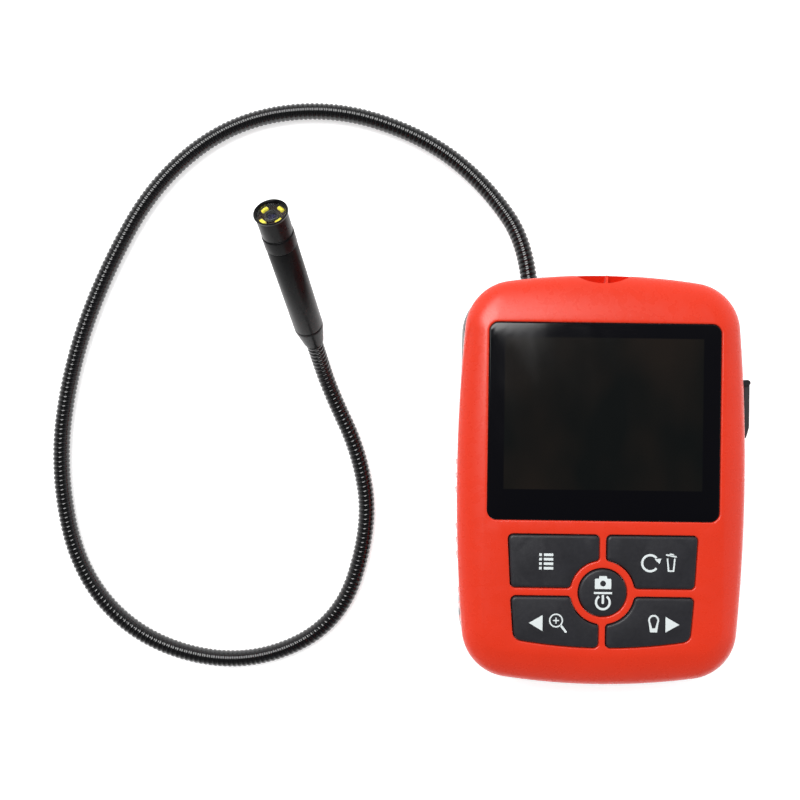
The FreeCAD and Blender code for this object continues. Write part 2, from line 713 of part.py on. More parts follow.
def make_keys():
    bodies = []
    for name, (side, row, x, y) in KEYS.items():
        if side:
            cap = key_blank(f"{name}_cap", side, row, "0", "flange_top", "key_top", "key_corner")
            flange = key_blank(f"{name}_flange", side, row, "key_flange", "flange_base", "flange_top")
        else:
            cap = cylinder(f"{name}_cap", "power_key_radius", "key_top - flange_top", x, y, "flange_top")
            flange = cylinder(f"{name}_flange", "power_key_radius + key_flange", "flange_top - flange_base",
                              x, y, "flange_base")
        soft = rounded(f"{name}_soft_cap", cap, "key_edge", at_height(value("key_top")))
        nib = cylinder(f"{name}_nib", "nib_radius", "flange_base - plunger_top", x, y, "plunger_top")
        keep(fuse(f"{name}_key_solid", soft, flange, nib), f"{name}_key")
        keep(cylinder(f"{name}_plunger_rod", "plunger_radius", "0.95", x, y, "plunger_top - 0.95"),
             f"{name}_plunger")
        case = box(f"{name}_switch", (f"{x} - switch_width/2", f"{x} + switch_width/2"),
                   (f"{y} - switch_width/2", f"{y} + switch_width/2"),
                   ("board_base + board_thickness", "switch_top"))
        well = cylinder(f"{name}_well", "plunger_radius + 0.05", "2", x, y, "plunger_top - 1.7")
        bodies.append(cut(f"{name}_switch_case", case, well))
    keep(group("switch_group", *bodies), "key_switches")


# ---------------------------------------------------------------- circuit board

def make_board():
    board = new_body("main_board")
    slab = new_sketch(board, "board_outline", z="board_base")
    half, low, high = "board_width/2", "board_low", "board_high"
    tab_low, tab_high, tab = "port_centre - 7.5", "port_centre + 7.5", "36.4"
    polygon(slab, [(f"-{half}", low), (half, low), (half, tab_low), (tab, tab_low), (tab, tab_high),
                   (half, tab_high), (half, high), (f"-{half}", high)])
    plate = pad(board, slab, "board_thickness")
    fillet(board, plate, "2", lambda edge: upright(edge) and abs(edge.BoundBox.YMax) > 45)
    holes = new_sketch(board, "board_holes", z="board_base + board_thickness")
    circles(holes, "1.1", BOARD_POSTS)
    pocket(board, holes, "board_thickness")
    keep(board, "main_board")

    under = "board_base"
    chips = [
        box("processor", ("2", "16"), ("30", "44"), (f"{under} - 1.4", under)),
        box("memory_chip", ("18", "26"), ("32", "42"), (f"{under} - 1.1", under)),
        box("flash_chip", ("-3", "2"), ("10", "16"), (f"{under} - 0.9", under)),
        box("regulator", ("-26", "-20"), ("12", "18"), (f"{under} - 1.6", under)),
        box("power_inductor", ("-26", "-20"), ("22", "28"), (f"{under} - 2.4", under)),
        box("clock_crystal", ("6", "9.2"), ("22", "24.5"), (f"{under} - 0.8", under)),
        box("driver_chip", ("-6", "1"), ("-40", "-33"), (f"{under} - 1", under)),
        cylinder("bulk_capacitor", "2.5", "2.6", "-28", "36", f"{under} - 2.6"),
    ]
    keep(group("chip_group", *chips), "board_chips")

    usb_y = ("port_centre - 3.85", "port_centre + 3.85")
    usb = box("usb_case", ("28.4", "37.4"), usb_y, (f"{under} - 3.9", under))
    usb_room = box("usb_room", ("30", "38"), ("port_centre - 3.45", "port_centre + 3.45"),
                   (f"{under} - 3.5", f"{under} - 0.4"))
    tongue = box("usb_tongue", ("29.5", "36.4"), ("port_centre - 2.6", "port_centre + 2.6"),
                 (f"{under} - 2.3", f"{under} - 1.5"))
    keep(fuse("usb_solid", cut("usb_shell", usb, usb_room), tongue), "usb_socket")
    card = box("card_case", ("23.4", "37.4"), ("port_centre - 6", "port_centre + 6"), ("24", "25.45"))
    card_room = box("card_room", ("24", "38"), ("port_centre - 5.6", "port_centre + 5.6"), ("24.2", "25.2"))
    keep(cut("card_shell", card, card_room), "card_socket")

    plug = box("lead_plug", ("-17", "-7"), ("13.5", "19.5"), (f"{under} - 3.6", under))
    keep(plug, "camera_connector")


# ---------------------------------------------------------------- side port cover

def make_port_cover():
    plate = new_body("cover_plate")
    side = new_sketch(plate, "cover_profile", z="flap_low")
    polygon(side, [("cover_back", "cover_low"), ("cover_back + 0.6", "cover_low"),
                   ("cover_face", "cover_low + cover_taper"), ("cover_face", "hinge_y - 0.7"),
                   ("cover_face - 0.4", "hinge_y - 0.2"), ("cover_back", "hinge_y - 0.2")])
    slab = pad(plate, side, "flap_high - flap_low")
    fillet(plate, slab, "0.7", lambda edge: edge.BoundBox.XMin > value("cover_face") - 0.01 and
           edge.BoundBox.YMax - edge.BoundBox.YMin > 5)
    plug = box("cover_plug", ("38.9", "cover_back + 0.1"), ("port_centre - 6", "port_centre + 6"),
               ("port_low + 0.25", "port_high - 0.25"))
    knuckle = cylinder("cover_knuckle", "knuckle_radius", "flap_high - flap_low", "hinge_x", "hinge_y", "flap_low")
    bore = cylinder("knuckle_bore", "pin_radius + 0.05", "14", "hinge_x", "hinge_y", "15")
    keep(cut("port_cover_cut", fuse("cover_solid", plate, plug, knuckle), bore), "port_cover")
    keep(cylinder("hinge_pin", "pin_radius", "11.7", "hinge_x", "hinge_y", "15.9"), "port_cover_pin")


# ---------------------------------------------------------------- batteries and contacts

def make_batteries():
    contacts = []
    springs = []
    nub = "0.9"
    plate = "contact_thickness"
    for number in range(4):
        x = f"({number} - 1.5)*cell_pitch"
        flipped = number % 2 == 1
        cell = turned(f"battery_{number + 1}", [
            ("0", "0"), ("cell_radius", "0"), ("cell_radius", f"cell_length - {nub}"),
            ("2.7", f"cell_length - {nub}"), ("2.7", "cell_length"), ("0", "cell_length")])
        start = value(f"bay_low + {plate} + cell_length" if flipped else f"bay_high - {plate} - cell_length")
        heading = Vector(0, -1 if flipped else 1, 0)
        cell.Placement = FreeCAD.Placement(Vector(value(x), start, value("cell_height")),
                                           FreeCAD.Rotation(Vector(0, 0, 1), heading))
        for end, y in enumerate((("bay_low", f"bay_low + {plate}"), (f"bay_high - {plate}", "bay_high"))):
            contacts.append(box(f"contact_{number}{end}", (f"{x} - 5", f"{x} + 5"), y,
                                ("cell_height - 5", "cell_height + 5")))
        # the spring presses on the cell's flat end
        wire, coil = value("spring_wire"), value("spring_coil")
        rise, space = value("spring_pitch"), value("spring_space")
        low = value(f"bay_high - {plate}") - space if flipped else value(f"bay_low + {plate}")
        section = Part.Circle(Vector(coil, 0, 0), Vector(0, coil, rise / (2 * math.pi)), wire)
        helix = Part.makeHelix(rise, space - 2 * wire, coil)
        spring = doc.addObject("Part::Feature", f"spring_{number}")
        spring.Shape = Part.Wire(helix.Edges).makePipeShell([Part.Wire(section.toShape())], True, True)
        spring.Placement = FreeCAD.Placement(Vector(value(x), low + wire, value("cell_height")),
                                             FreeCAD.Rotation(Vector(0, 0, 1), Vector(0, 1, 0)))
        springs.append(spring)
    keep(group("contact_group", *contacts), "battery_contacts")
    keep(group("spring_group", *springs), "battery_springs")


# ---------------------------------------------------------------- screws

def screw(name, x, y, head_z, head_radius, head_height, shank_radius, shank_length):
    """A pan-head screw with a cross recess, its head at the bottom and its point upwards."""
    head = cylinder(name + "_head", head_radius, head_height, x, y, head_z)
    shank = cylinder(name + "_shank", shank_radius, f"{head_height} + {shank_length}", x, y, head_z)
    slots = [box(f"{name}_slot_{turn}", (f"{x} - {a}", f"{x} + {a}"), (f"{y} - {b}", f"{y} + {b}"),
                 (f"{head_z} - 1", f"{head_z} + {head_height}*0.5"))
             for turn, (a, b) in enumerate(((f"{head_radius}*0.6", "0.25"), ("0.25", f"{head_radius}*0.6")))]
    return cut(name, fuse(name + "_solid", head, shank), *slots)


def make_screws():
    case = [screw(f"case_screw_{number}", x, y, "2.4", "2.2", "1.8", "1.25", "21.5")
            for number, (x, y) in enumerate(POSTS)]
    keep(group("case_screw_group", *case), "case_screws")
    small = [screw(f"board_screw_{number}", x, y, "board_base - 1.2", "1.9", "1.2", "0.95", "5.2")
             for number, (x, y) in enumerate(BOARD_POSTS)]
    keep(group("board_screw_group", *small), "board_screws")


# ---------------------------------------------------------------- gooseneck and its entry

def make_gooseneck():
    print("gooseneck")
    neck = doc.addObject("Part::Feature", "gooseneck_tube")
    neck.Shape = tube(ROUTE, value("cable_radius"))
    keep(neck, "gooseneck")
    print("inner lead")
    lead = doc.addObject("Part::Feature", "inner_lead")
    lead.Shape = tube(LEAD_ROUTE, value("lead_radius"))
    keep(lead, "camera_lead")

    at_wall = FreeCAD.Placement(Vector(value("entry_x"), 0, value("entry_z")),
                                FreeCAD.Rotation(Vector(0, 0, 1), Vector(0, 1, 0)))
    turned("cable_grommet", [
        ("cable_radius", "51.6"), ("5.2", "51.6"), ("5.2", "52.8"), ("grommet_radius", "52.8"),
        ("grommet_radius", "56.5"), ("3.6", "57"), ("cable_radius + 0.3", "57"), ("cable_radius", "56.7")],
        at_wall)

    span = ("entry_x - 8", "entry_x + 8")
    strap = box("clamp_strap", span, ("clamp_low", "clamp_high"), ("entry_z + 0.2", "entry_z + 4"))
    groove = cylinder("strap_groove", "cable_radius", "8", "entry_x", "clamp_low - 2", "entry_z", Vector(0, 1, 0))
    ways = [cylinder(f"strap_way_{number}", "1.15", "8", f"entry_x + ({shift})", "clamp_low + 2", "entry_z")
            for number, shift in enumerate(("-5.6", "5.6"))]
    keep(cut("cable_clamp_cut", strap, groove, *ways), "cable_clamp")
    screws = []
    for number, shift in enumerate(("-5.6", "5.6")):
        x = f"entry_x + ({shift})"
        head = cylinder(f"clamp_head_{number}", "1.8", "1.2", x, "clamp_low + 2", "entry_z + 4")
        shank = cylinder(f"clamp_shank_{number}", "1", "9.5", x, "clamp_low + 2", "entry_z - 5.4")
        screws.append(fuse(f"clamp_screw_{number}", head, shank))
    keep(group("clamp_screw_group", *screws), "clamp_screws")


# ---------------------------------------------------------------- camera head

def make_head():
    axis = (Vector(*ROUTE[-1]) - Vector(*ROUTE[-2])).normalize()
    foot = Vector(*ROUTE[-2]) + axis * HEAD_OFFSET
    at_head = FreeCAD.Placement(foot, FreeCAD.Rotation(Vector(0, 0, 1), axis))

    turned("head_ferrule", [
        ("cable_radius", "0"), ("2.85", "0"), ("3.05", "0.8"), ("4.1", "6.6"), ("head_radius", "7.2"),
        ("head_radius", "ferrule_length"), ("3.5", "ferrule_length"), ("3.5", "ferrule_length + 3.4"),
        ("1.25", "ferrule_length + 3.4"), ("1.25", "9.1"), ("cable_radius", "9.1")], at_head)
    turned("head_barrel", [
        ("3.5", "ferrule_length"), ("head_radius", "ferrule_length"), ("head_radius", "barrel_end"),
        ("3.7", "barrel_end"), ("3.7", "45"), ("3.1", "45"), ("3.1", "13.5"), ("3.5", "12.5")], at_head)
    turned("head_cap", [
        ("3.72", "barrel_end + 0.12"), ("4.2", "barrel_end + 0.12"), ("collar_radius", "barrel_end + 0.4"),
        ("collar_radius", "collar_end - 0.3"), ("groove_radius", "collar_end"), ("groove_radius", "groove_end"),
        ("4.22", "groove_end + 0.15"),
        ("4.25", "head_length - 0.7"), ("4.4", "head_length - 0.25"), ("4.3", "head_length"),
        ("3.95", "head_length"), ("3.75", "51.8"), ("3.75", "51"), ("head_bore", "51"),
        ("head_bore", "45.6"), ("3.72", "45.6")], at_head)
    turned("head_seal_ring", [("3.1", "45"), ("3.68", "45"), ("3.68", "45.6"), ("3.1", "45.6")], at_head)
    turned("head_window", [("0", "51"), ("3.75", "51"), ("3.75", "51.7"), ("3.65", "51.8"), ("0", "51.8")], at_head)
    turned("led_board", [("1.75", "49.4"), ("3.5", "49.4"), ("3.5", "50.1"), ("1.75", "50.1")], at_head)
    turned("lens_barrel", [("1", "47.3"), ("1.7", "47.3"), ("1.7", "50.8"), ("1.2", "50.8"), ("1", "50.2")], at_head)
    turned("lens_glass", [("0", "49.6"), ("1", "49.6"), ("1", "50.2"), ("0.6", "50.5"), ("0", "50.6")], at_head)
    turned("sensor_board", [("0", "45.7"), ("3.4", "45.7"), ("3.4", "46.5"), ("0", "46.5")], at_head)
    turned("head_wires", [("0", "9.2"), ("1.2", "9.2"), ("1.2", "45.65"), ("0", "45.65")], at_head)

    lamps = []
    for quarter in range(4):
        lamp = doc.addObject("Part::Box", f"lamp_{quarter}")
        lamp.setExpression("Length", bound("lamp_length"))
        lamp.setExpression("Width", bound("lamp_width"))
        lamp.setExpression("Height", bound("lamp_height"))
        quarter_turn = FreeCAD.Rotation(Vector(0, 0, 1), 45 + 90 * quarter)
        centre = FreeCAD.Placement(Vector(0, 0, value("lamp_seat")), quarter_turn)
        corner = Vector(value("lamp_circle - lamp_length/2"), value("-lamp_width/2"), 0)
        lamp.Placement = centre.multiply(FreeCAD.Placement(corner, FreeCAD.Rotation()))
        lamps.append(lamp)
    keep(group("lamp_group", *lamps), "head_leds", at_head)
    chip = box("sensor_block", ("-1.8", "1.8"), ("-1.8", "1.8"), ("46.5", "47.3"))
    keep(group("sensor_group", chip), "image_sensor", at_head)


# ---------------------------------------------------------------- build, check and write

for make in (make_front_shell, make_rear_shell, make_battery_door, make_display, make_keys, make_board,
             make_port_cover, make_batteries, make_screws, make_gooseneck, make_head):
    make()
doc.recompute()

for thing in doc.Objects:
    if "Invalid" in thing.State or "Error" in thing.State:
        raise RuntimeError(f"{thing.Name} failed: {thing.State}")

os.makedirs("parts", exist_ok=True)
for label, solid in pieces.items():
    shape = solid.Shape
    if shape.isNull() or not shape.isValid() or not shape.Solids:
        raise RuntimeError(f"{label} is not a valid solid")
    shape.exportStep(f"parts/{label}.step")
print(f"{len(pieces)} sub-parts written")
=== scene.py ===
import json
import math
import bmesh
import bpy
from mathutils import Matrix, Vector
from mathutils.geometry import delaunay_2d_cdt


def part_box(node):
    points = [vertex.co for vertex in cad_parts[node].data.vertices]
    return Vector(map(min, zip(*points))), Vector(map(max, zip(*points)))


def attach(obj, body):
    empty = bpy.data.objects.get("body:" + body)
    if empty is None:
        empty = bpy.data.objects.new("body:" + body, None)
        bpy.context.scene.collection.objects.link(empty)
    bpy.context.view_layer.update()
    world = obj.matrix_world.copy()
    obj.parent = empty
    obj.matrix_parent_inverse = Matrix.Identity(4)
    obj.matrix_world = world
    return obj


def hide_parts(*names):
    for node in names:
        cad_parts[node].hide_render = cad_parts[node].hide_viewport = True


# Looks of the inspection camera. Shapes are written in millimetres and turned into metres when meshed.

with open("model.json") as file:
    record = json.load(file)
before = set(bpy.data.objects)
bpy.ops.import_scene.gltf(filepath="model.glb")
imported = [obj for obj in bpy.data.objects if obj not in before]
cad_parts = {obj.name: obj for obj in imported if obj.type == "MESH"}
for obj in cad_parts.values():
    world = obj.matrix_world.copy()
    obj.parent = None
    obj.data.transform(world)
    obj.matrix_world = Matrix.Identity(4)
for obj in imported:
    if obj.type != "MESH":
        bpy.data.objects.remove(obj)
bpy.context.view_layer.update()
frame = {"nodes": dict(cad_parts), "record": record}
nodes = frame["nodes"]
MM = 0.001


# ---------------- materials

def feed(tree, socket, given):
    """Gives an input a link or a value."""
    if isinstance(given, bpy.types.NodeSocket):
        tree.links.new(given, socket)
    else:
        socket.default_value = given


def node(tree, kind, inputs=None, **settings):
    """A shader node with its settings, and its inputs as values or links."""
    made = tree.nodes.new("ShaderNode" + kind)
    for key, setting in settings.items():
        setattr(made, key, setting)
    for key, given in (inputs or {}).items():
        feed(tree, made.inputs[key], given)
    return made


def noise(tree, size, detail=3.0, stretch=(1, 1, 1)):
    """Noise with features of about the given size in metres."""
    place = node(tree, "TexCoord").outputs["Object"]
    grown = node(tree, "Mapping", {"Vector": place, "Scale": stretch})
    pattern = node(tree, "TexNoise", {"Vector": grown.outputs[0], "Scale": 1 / size, "Detail": detail})
    return pattern.outputs["Fac"]


def spread(tree, source, low, high, start=0.3, end=0.7):
    """Maps a 0 to 1 pattern onto a range."""
    return node(tree, "MapRange", {"Value": source, "From Min": start, "From Max": end,
                                   "To Min": low, "To Max": high}).outputs["Result"]


def blended(tree, share, first, second):
    """A colour between two."""
    mixer = node(tree, "Mix", data_type="RGBA")
    for key, given in ((0, share), (6, first), (7, second)):
        feed(tree, mixer.inputs[key], (*given, 1) if isinstance(given, tuple) else given)
    return mixer.outputs[2]


def start_material(name):
    """An empty node material and its Principled shader."""
    made = bpy.data.materials.new(name)
    made.use_nodes = True
    tree = made.node_tree
    return made, tree, tree.nodes["Principled BSDF"]


def settle(tree, shader, **settings):
    """Feeds a shader's inputs, with underscores for the spaces in their names."""
    for key, given in settings.items():
        feed(tree, shader.inputs[key.replace("_", " ")], given)


def tone(colour, share):
    """A colour made darker or lighter, with no channel over 1."""
    return tuple(min(1, channel * share) for channel in colour)


def finish(name, colour, roughness, grain=0.3, depth=0.01, uneven=0.08, patch=6.0, **extras):
    """A moulded, drawn or printed surface, with its grain's size and depth and its patches' size in mm."""
    made, tree, shader = start_material(name)
    patches = noise(tree, patch * MM)
    tint = blended(tree, spread(tree, patches, 0, 1), tone(colour, 1 - uneven), tone(colour, 1 + uneven))
    gloss = spread(tree, noise(tree, patch * MM / 5), roughness * 0.88, roughness * 1.12)
    bump = node(tree, "Bump", {"Height": noise(tree, grain * MM, 2), "Distance": depth * MM, "Strength": 1})
    settle(tree, shader, Base_Color=tint, Roughness=gloss, Normal=bump.outputs[0], **extras)
    return made


def window_finish():
    """Smoked acrylic over a dark screen: a black printed border round a slightly lighter picture area."""
    made, tree, shader = start_material("window_acrylic")
    place = node(tree, "SeparateXYZ", {"Vector": node(tree, "TexCoord").outputs["Object"]})
    blur = 0.12
    sides = []
    for axis, centre, half in (("X", 0.0, VIEW_WIDTH / 2), ("Y", VIEW_CENTRE, VIEW_LENGTH / 2)):
        off = node(tree, "Math", {0: place.outputs[axis], 1: centre * MM}, operation="SUBTRACT")
        away = node(tree, "Math", {0: off.outputs[0]}, operation="ABSOLUTE")
        sides.append(spread(tree, away.outputs[0], 1, 0, (half - blur) * MM, (half + blur) * MM))
    picture = node(tree, "Math", {0: sides[0], 1: sides[1]}, operation="MULTIPLY").outputs[0]
    cloud = spread(tree, noise(tree, 22 * MM, 2, (1, 0.7, 1)), 0, 1, 0.35, 0.68)
    screen = blended(tree, cloud, (0.0042, 0.0052, 0.0050), (0.0125, 0.0095, 0.0075))
    tint = blended(tree, picture, (0.0022, 0.0022, 0.0034), screen)
    smear = spread(tree, noise(tree, 9 * MM, 4, (1, 0.4, 1)), 0.05, 0.13)
    settle(tree, shader, Base_Color=tint, Roughness=smear, Specular_IOR_Level=0.42)
    return made


def cell_finish():
    """A battery's printed film: a dark body with a plain coloured band at one end."""
    made, tree, shader = start_material("cell_film")
    place = node(tree, "SeparateXYZ", {"Vector": node(tree, "TexCoord").outputs["Object"]})
    band_end, band_start = -14.2, -14.0
    band = spread(tree, place.outputs["Y"], 0, 1, band_end * MM, band_start * MM)
    scuff = spread(tree, noise(tree, 2 * MM, 4), 0, 0.25)
    body = blended(tree, scuff, (0.035, 0.036, 0.042), (0.07, 0.07, 0.075))
    tint = blended(tree, band, body, (0.52, 0.33, 0.08))
    settle(tree, shader, Base_Color=tint, Roughness=0.3, Metallic=0.35)
    return made


def board_finish():
    """Solder mask over copper tracks, which stand up a little."""
    made, tree, shader = start_material("solder_mask")
    place = node(tree, "TexCoord").outputs["Object"]
    tracks = node(tree, "TexBrick", {"Vector": place, "Scale": 1 / (3 * MM), "Mortar Size": 0.06,
                                     "Color1": (0.008, 0.085, 0.03, 1), "Color2": (0.01, 0.1, 0.035, 1),
                                     "Mortar": (0.02, 0.16, 0.06, 1)})
    bump = node(tree, "Bump", {"Height": tracks.outputs["Fac"], "Distance": 0.02 * MM, "Strength": 0.6})
    settle(tree, shader, Base_Color=tracks.outputs["Color"], Normal=bump.outputs[0], Roughness=0.28)
    return made


# the picture area behind the window, in millimetres: its width, its length and its middle along Y
VIEW_WIDTH, VIEW_LENGTH, VIEW_CENTRE = 54.6, 41.8, 18.4

finishes = {
    "red_shell": finish("red_moulding", (0.82, 0.042, 0.014), 0.28, 0.36, 0.02, 0.02, 14,
                        Specular_IOR_Level=0.5, Sheen_Weight=0.5, Sheen_Roughness=0.2),
    "black_shell": finish("black_moulding", (0.012, 0.012, 0.013), 0.4, 0.3, 0.02, 0.1, 10),
    "window_glass": window_finish(),
    "tape_foam": finish("foam_tape", (0.02, 0.02, 0.02), 0.9, 0.2, 0.05),
    "steel": finish("plated_steel", (0.6, 0.6, 0.6), 0.3, 0.15, 0.004, Metallic=1.0),
    "lcd_glass": finish("display_cell", (0.012, 0.012, 0.014), 0.12, 0.5, 0.001),
    "white_plastic": finish("white_nylon", (0.75, 0.75, 0.72), 0.5),
    "black_plastic": finish("black_nylon", (0.018, 0.018, 0.019), 0.45),
    "flex_film": finish("amber_film", (0.5, 0.22, 0.04), 0.25, 0.5, 0.004),
    "board_green": board_finish(),
    "chip_black": finish("chip_epoxy", (0.02, 0.02, 0.021), 0.55, 0.1, 0.006),
    "port_rubber": finish("port_elastomer", (0.03, 0.03, 0.032), 0.55, 0.25, 0.015),
    "black_rubber": finish("grommet_rubber", (0.015, 0.015, 0.015), 0.6, 0.2, 0.02),
    "key_rubber": finish("key_elastomer", (0.022, 0.022, 0.026), 0.38, 0.26, 0.016, 0.12, 5,
                         Specular_IOR_Level=0.42),
    "cable_jacket": finish("cable_sleeve", (0.0035, 0.0035, 0.004), 0.14, 0.6, 0.006, 0.2, 4,
                           Coat_Weight=0.3),
    "head_metal": finish("black_anodising", (0.003, 0.003, 0.0035), 0.3, 0.08, 0.002, 0.15, 5,
                         Specular_IOR_Level=0.14),
    "head_glass": finish("clear_window", (1, 1, 1), 0.03, 0.5, 0.0002, 0.0,
                         Transmission_Weight=1.0, IOR=1.2),
    "lens_glass": finish("coated_lens", (0.004, 0.004, 0.04), 0.08, 0.5, 0.0002, Specular_IOR_Level=0.15),
    "led_phosphor": finish("phosphor", (0.85, 0.76, 0.06), 0.4, 0.1, 0.01, 0.06, 1, Emission_Strength=0.35,
                           Emission_Color=(0.85, 0.72, 0.04, 1)),
    "spring_nickel": finish("nickel", (0.66, 0.65, 0.6), 0.2, 0.2, 0.002, Metallic=1.0),
    "cell_wrap": cell_finish(),
}
lamp_board_mask = finish("lamp_board_mask", (0.028, 0.014, 0.012), 0.5, 0.1, 0.006, Specular_IOR_Level=0.1)
symbol_white = finish("symbol_ink", (0.80, 0.86, 0.86), 0.5, 0.15, 0.006, 0.03, 2)

for part in frame["record"]["subparts"]:
    for slot in nodes[part["node"]].material_slots:
        slot.material = finishes[part["material_slot"]]


# ---------------- mesh helpers

class Shape:
    """Points in millimetres and the faces between them."""

    def __init__(self):
        self.points = []
        self.faces = []

    def add(self, points):
        """Adds points and gives their numbers."""
        first = len(self.points)
        self.points += [tuple(point) for point in points]
        return list(range(first, len(self.points)))

    def band(self, low, high):
        """Joins two closed rings of the same count."""
        for here in range(len(low)):
            after = (here + 1) % len(low)
            self.faces.append((low[here], low[after], high[after], high[here]))

    def loft(self, rings):
        """Adds rings of points, joins each to the next and gives the first and last ring's numbers."""
        numbers = [self.add(ring) for ring in rings]
        for low, high in zip(numbers, numbers[1:]):
            self.band(low, high)
        return numbers[0], numbers[-1]

    def cover(self, outer, *holes):
        """Fills the flat space between a closed ring of numbers and the holes in it."""
        rings = [outer, *holes]
        numbers = [number for ring in rings for number in ring]
        loops = [[self.points[number][:2] for number in ring] for ring in rings]
        self.faces += [tuple(numbers[corner] for corner in face) for face in fill(*loops)]

    def fan(self, ring, tip):
        """Closes a ring with triangles to one point."""
        centre, = self.add([tip])
        for here in range(len(ring)):
            self.faces.append((ring[here], ring[(here + 1) % len(ring)], centre))

    def solid(self, rings):
        """Lofts flat rings and covers both ends."""
        low, high = self.loft(rings)
        self.cover(low)
        self.cover(high)
        return self

    def pointed(self, rings, low_tip, high_tip):
        """Lofts rings and fans each end to a point."""
        low, high = self.loft(rings)
        self.fan(low, low_tip)
        self.fan(high, high_tip)
        return self


def inside(x, y, loop):
    """Whether a place lies inside a closed loop of points."""
    hits = False
    for (ax, ay), (bx, by) in zip(loop, loop[1:] + loop[:1]):
        if (ay > y) != (by > y) and x < (bx - ax) * (y - ay) / (by - ay) + ax:
            hits = not hits
    return hits


def fill(outer, *holes):
    """Triangles between a loop and its holes, as numbers into all their points in turn."""
    points = []
    edges = []
    for loop in (outer, *holes):
        first = len(points)
        points += [Vector(point) for point in loop]
        edges += [(first + here, first + (here + 1) % len(loop)) for here in range(len(loop))]
    places, _, triangles, origins, _, _ = delaunay_2d_cdt(points, edges, [], 0, 1e-7)
    kept = []
    for triangle in triangles:
        middle = sum((places[corner] for corner in triangle), Vector((0, 0))) / 3
        if inside(*middle, outer) and not any(inside(*middle, hole) for hole in holes):
            kept.append(tuple(origins[corner][0] for corner in triangle))
    return kept


SHARP = 32


def new_object(name, data):
    """An object in the scene that holds the given mesh, curve, camera or light."""
    made = bpy.data.objects.new(name, data)
    bpy.context.scene.collection.objects.link(made)
    return made


def mesh_object(name, shape, crease=SHARP):
    """A mesh object with outward faces, smooth up to the crease angle in degrees."""
    mesh = bpy.data.meshes.new(name)
    mesh.from_pydata([(x * MM, y * MM, z * MM) for x, y, z in shape.points], [], shape.faces)
    tidy = bmesh.new()
    tidy.from_mesh(mesh)
    bmesh.ops.recalc_face_normals(tidy, faces=tidy.faces)
    tidy.to_mesh(mesh)
    tidy.free()
    mesh.shade_smooth()
    mesh.set_sharp_from_angle(angle=math.radians(crease))
    return new_object(name, mesh)


def place(made, slot, *replaced, body="handset", look=None):
    """Gives a piece its material, its body and the CAD nodes that it stands for."""
    made.data.materials.clear()
    made.data.materials.append(look or finishes[slot])
    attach(made, body)
    if replaced:
        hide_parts(*replaced)
    return made


def carve(base, tool, operation="DIFFERENCE"):
    """Cuts one mesh object out of another, or joins it on, and drops the tool."""
    cutter = base.modifiers.new("carve", "BOOLEAN")
    cutter.object = tool
    cutter.operation = operation
    cutter.solver = "EXACT"
    result = bpy.data.meshes.new_from_object(base.evaluated_get(bpy.context.evaluated_depsgraph_get()))
    base.modifiers.clear()
    base.data = result
    result.set_sharp_from_angle(angle=math.radians(SHARP))
    bpy.data.objects.remove(tool)


# ---------------- flat outlines

def around(x, y, radius, turn):
    """The place at a turn in radians round a centre."""
    return x + radius * math.cos(turn), y + radius * math.sin(turn)


def heading(turn):
    """The direction at a turn in radians."""
    return Vector(around(0, 0, 1, turn))


def turns_of(steps):
    """One full turn in equal steps."""
    return [math.tau * step / steps for step in range(steps)]


def line(x, y, angle):
    """A straight side through a point, with its outward normal at an angle in degrees."""
    normal = heading(math.radians(angle))
    return ("line", normal, normal.dot((x, y)))


def arc(x, y, radius, bulge=1):
    """A round side about a centre: 1 bulges out, -1 bites in."""
    return ("arc", Vector((x, y)), radius, bulge)


def gap(side, point):
    """How far a point lies outside a side, and the side's outward normal there."""
    if side[0] == "line":
        return point.dot(side[1]) - side[2], side[1]
    away = point - side[1]
    return (away.length - side[2]) * side[3], away.normalized() * side[3]


def corner_centre(first, second, radius, point):
    """The centre of the arc that touches two sides from within, found from a rough place."""
    for _ in range(12):
        (gap_a, a), (gap_b, b) = gap(first, point), gap(second, point)
        miss_a, miss_b = gap_a + radius, gap_b + radius
        step = Vector((b.y * miss_a - a.y * miss_b, a.x * miss_b - b.x * miss_a))
        point = point - step / (a.x * b.y - a.y * b.x)
    return point


def outline(sides, corner_steps=8, side_steps=12):
    """A closed outline, counter-clockwise, as (point, outward normal) pairs.

    Each side is (shape, radius of the corner after it, rough place of that corner's centre)."""
    corners = []
    for here, (shape, radius, rough) in enumerate(sides):
        following = sides[(here + 1) % len(sides)][0]
        centre = corner_centre(shape, following, radius, Vector(rough))
        corners.append((centre, radius, gap(shape, centre)[1], gap(following, centre)[1]))
    pairs = []
    for here, (centre, radius, start, end) in enumerate(corners):
        first = math.atan2(start.y, start.x)
        sweep = (math.atan2(end.y, end.x) - first) % math.tau
        for step in range(corner_steps + 1):
            normal = heading(first + sweep * step / corner_steps)
            pairs.append((centre + normal * radius, normal))
        shape = sides[(here + 1) % len(sides)][0]
        next_centre, next_radius, next_start, _ = corners[(here + 1) % len(sides)]
        left, goal = pairs[-1][0], next_centre + next_start * next_radius
        for step in range(1, side_steps):
            share = step / side_steps
            if shape[0] == "line":
                pairs.append((left.lerp(goal, share), shape[1]))
                continue
            low, high = left - shape[1], goal - shape[1]
            begin = math.atan2(low.y, low.x)
            swing = (math.atan2(high.y, high.x) - begin + math.pi) % math.tau - math.pi
            way = heading(begin + swing * share)
            pairs.append((shape[1] + way * shape[2], way * shape[3]))
    return pairs


def ring(pairs, offset, height):
    """The outline grown by an offset, at a height."""
    return [(*(point + normal * offset), height) for point, normal in pairs]


def mirrored(pairs):
    """The outline's image on the other side of the Y axis."""
    return [(Vector((-point.x, point.y)), Vector((-normal.x, normal.y)))
            for point, normal in reversed(pairs)]


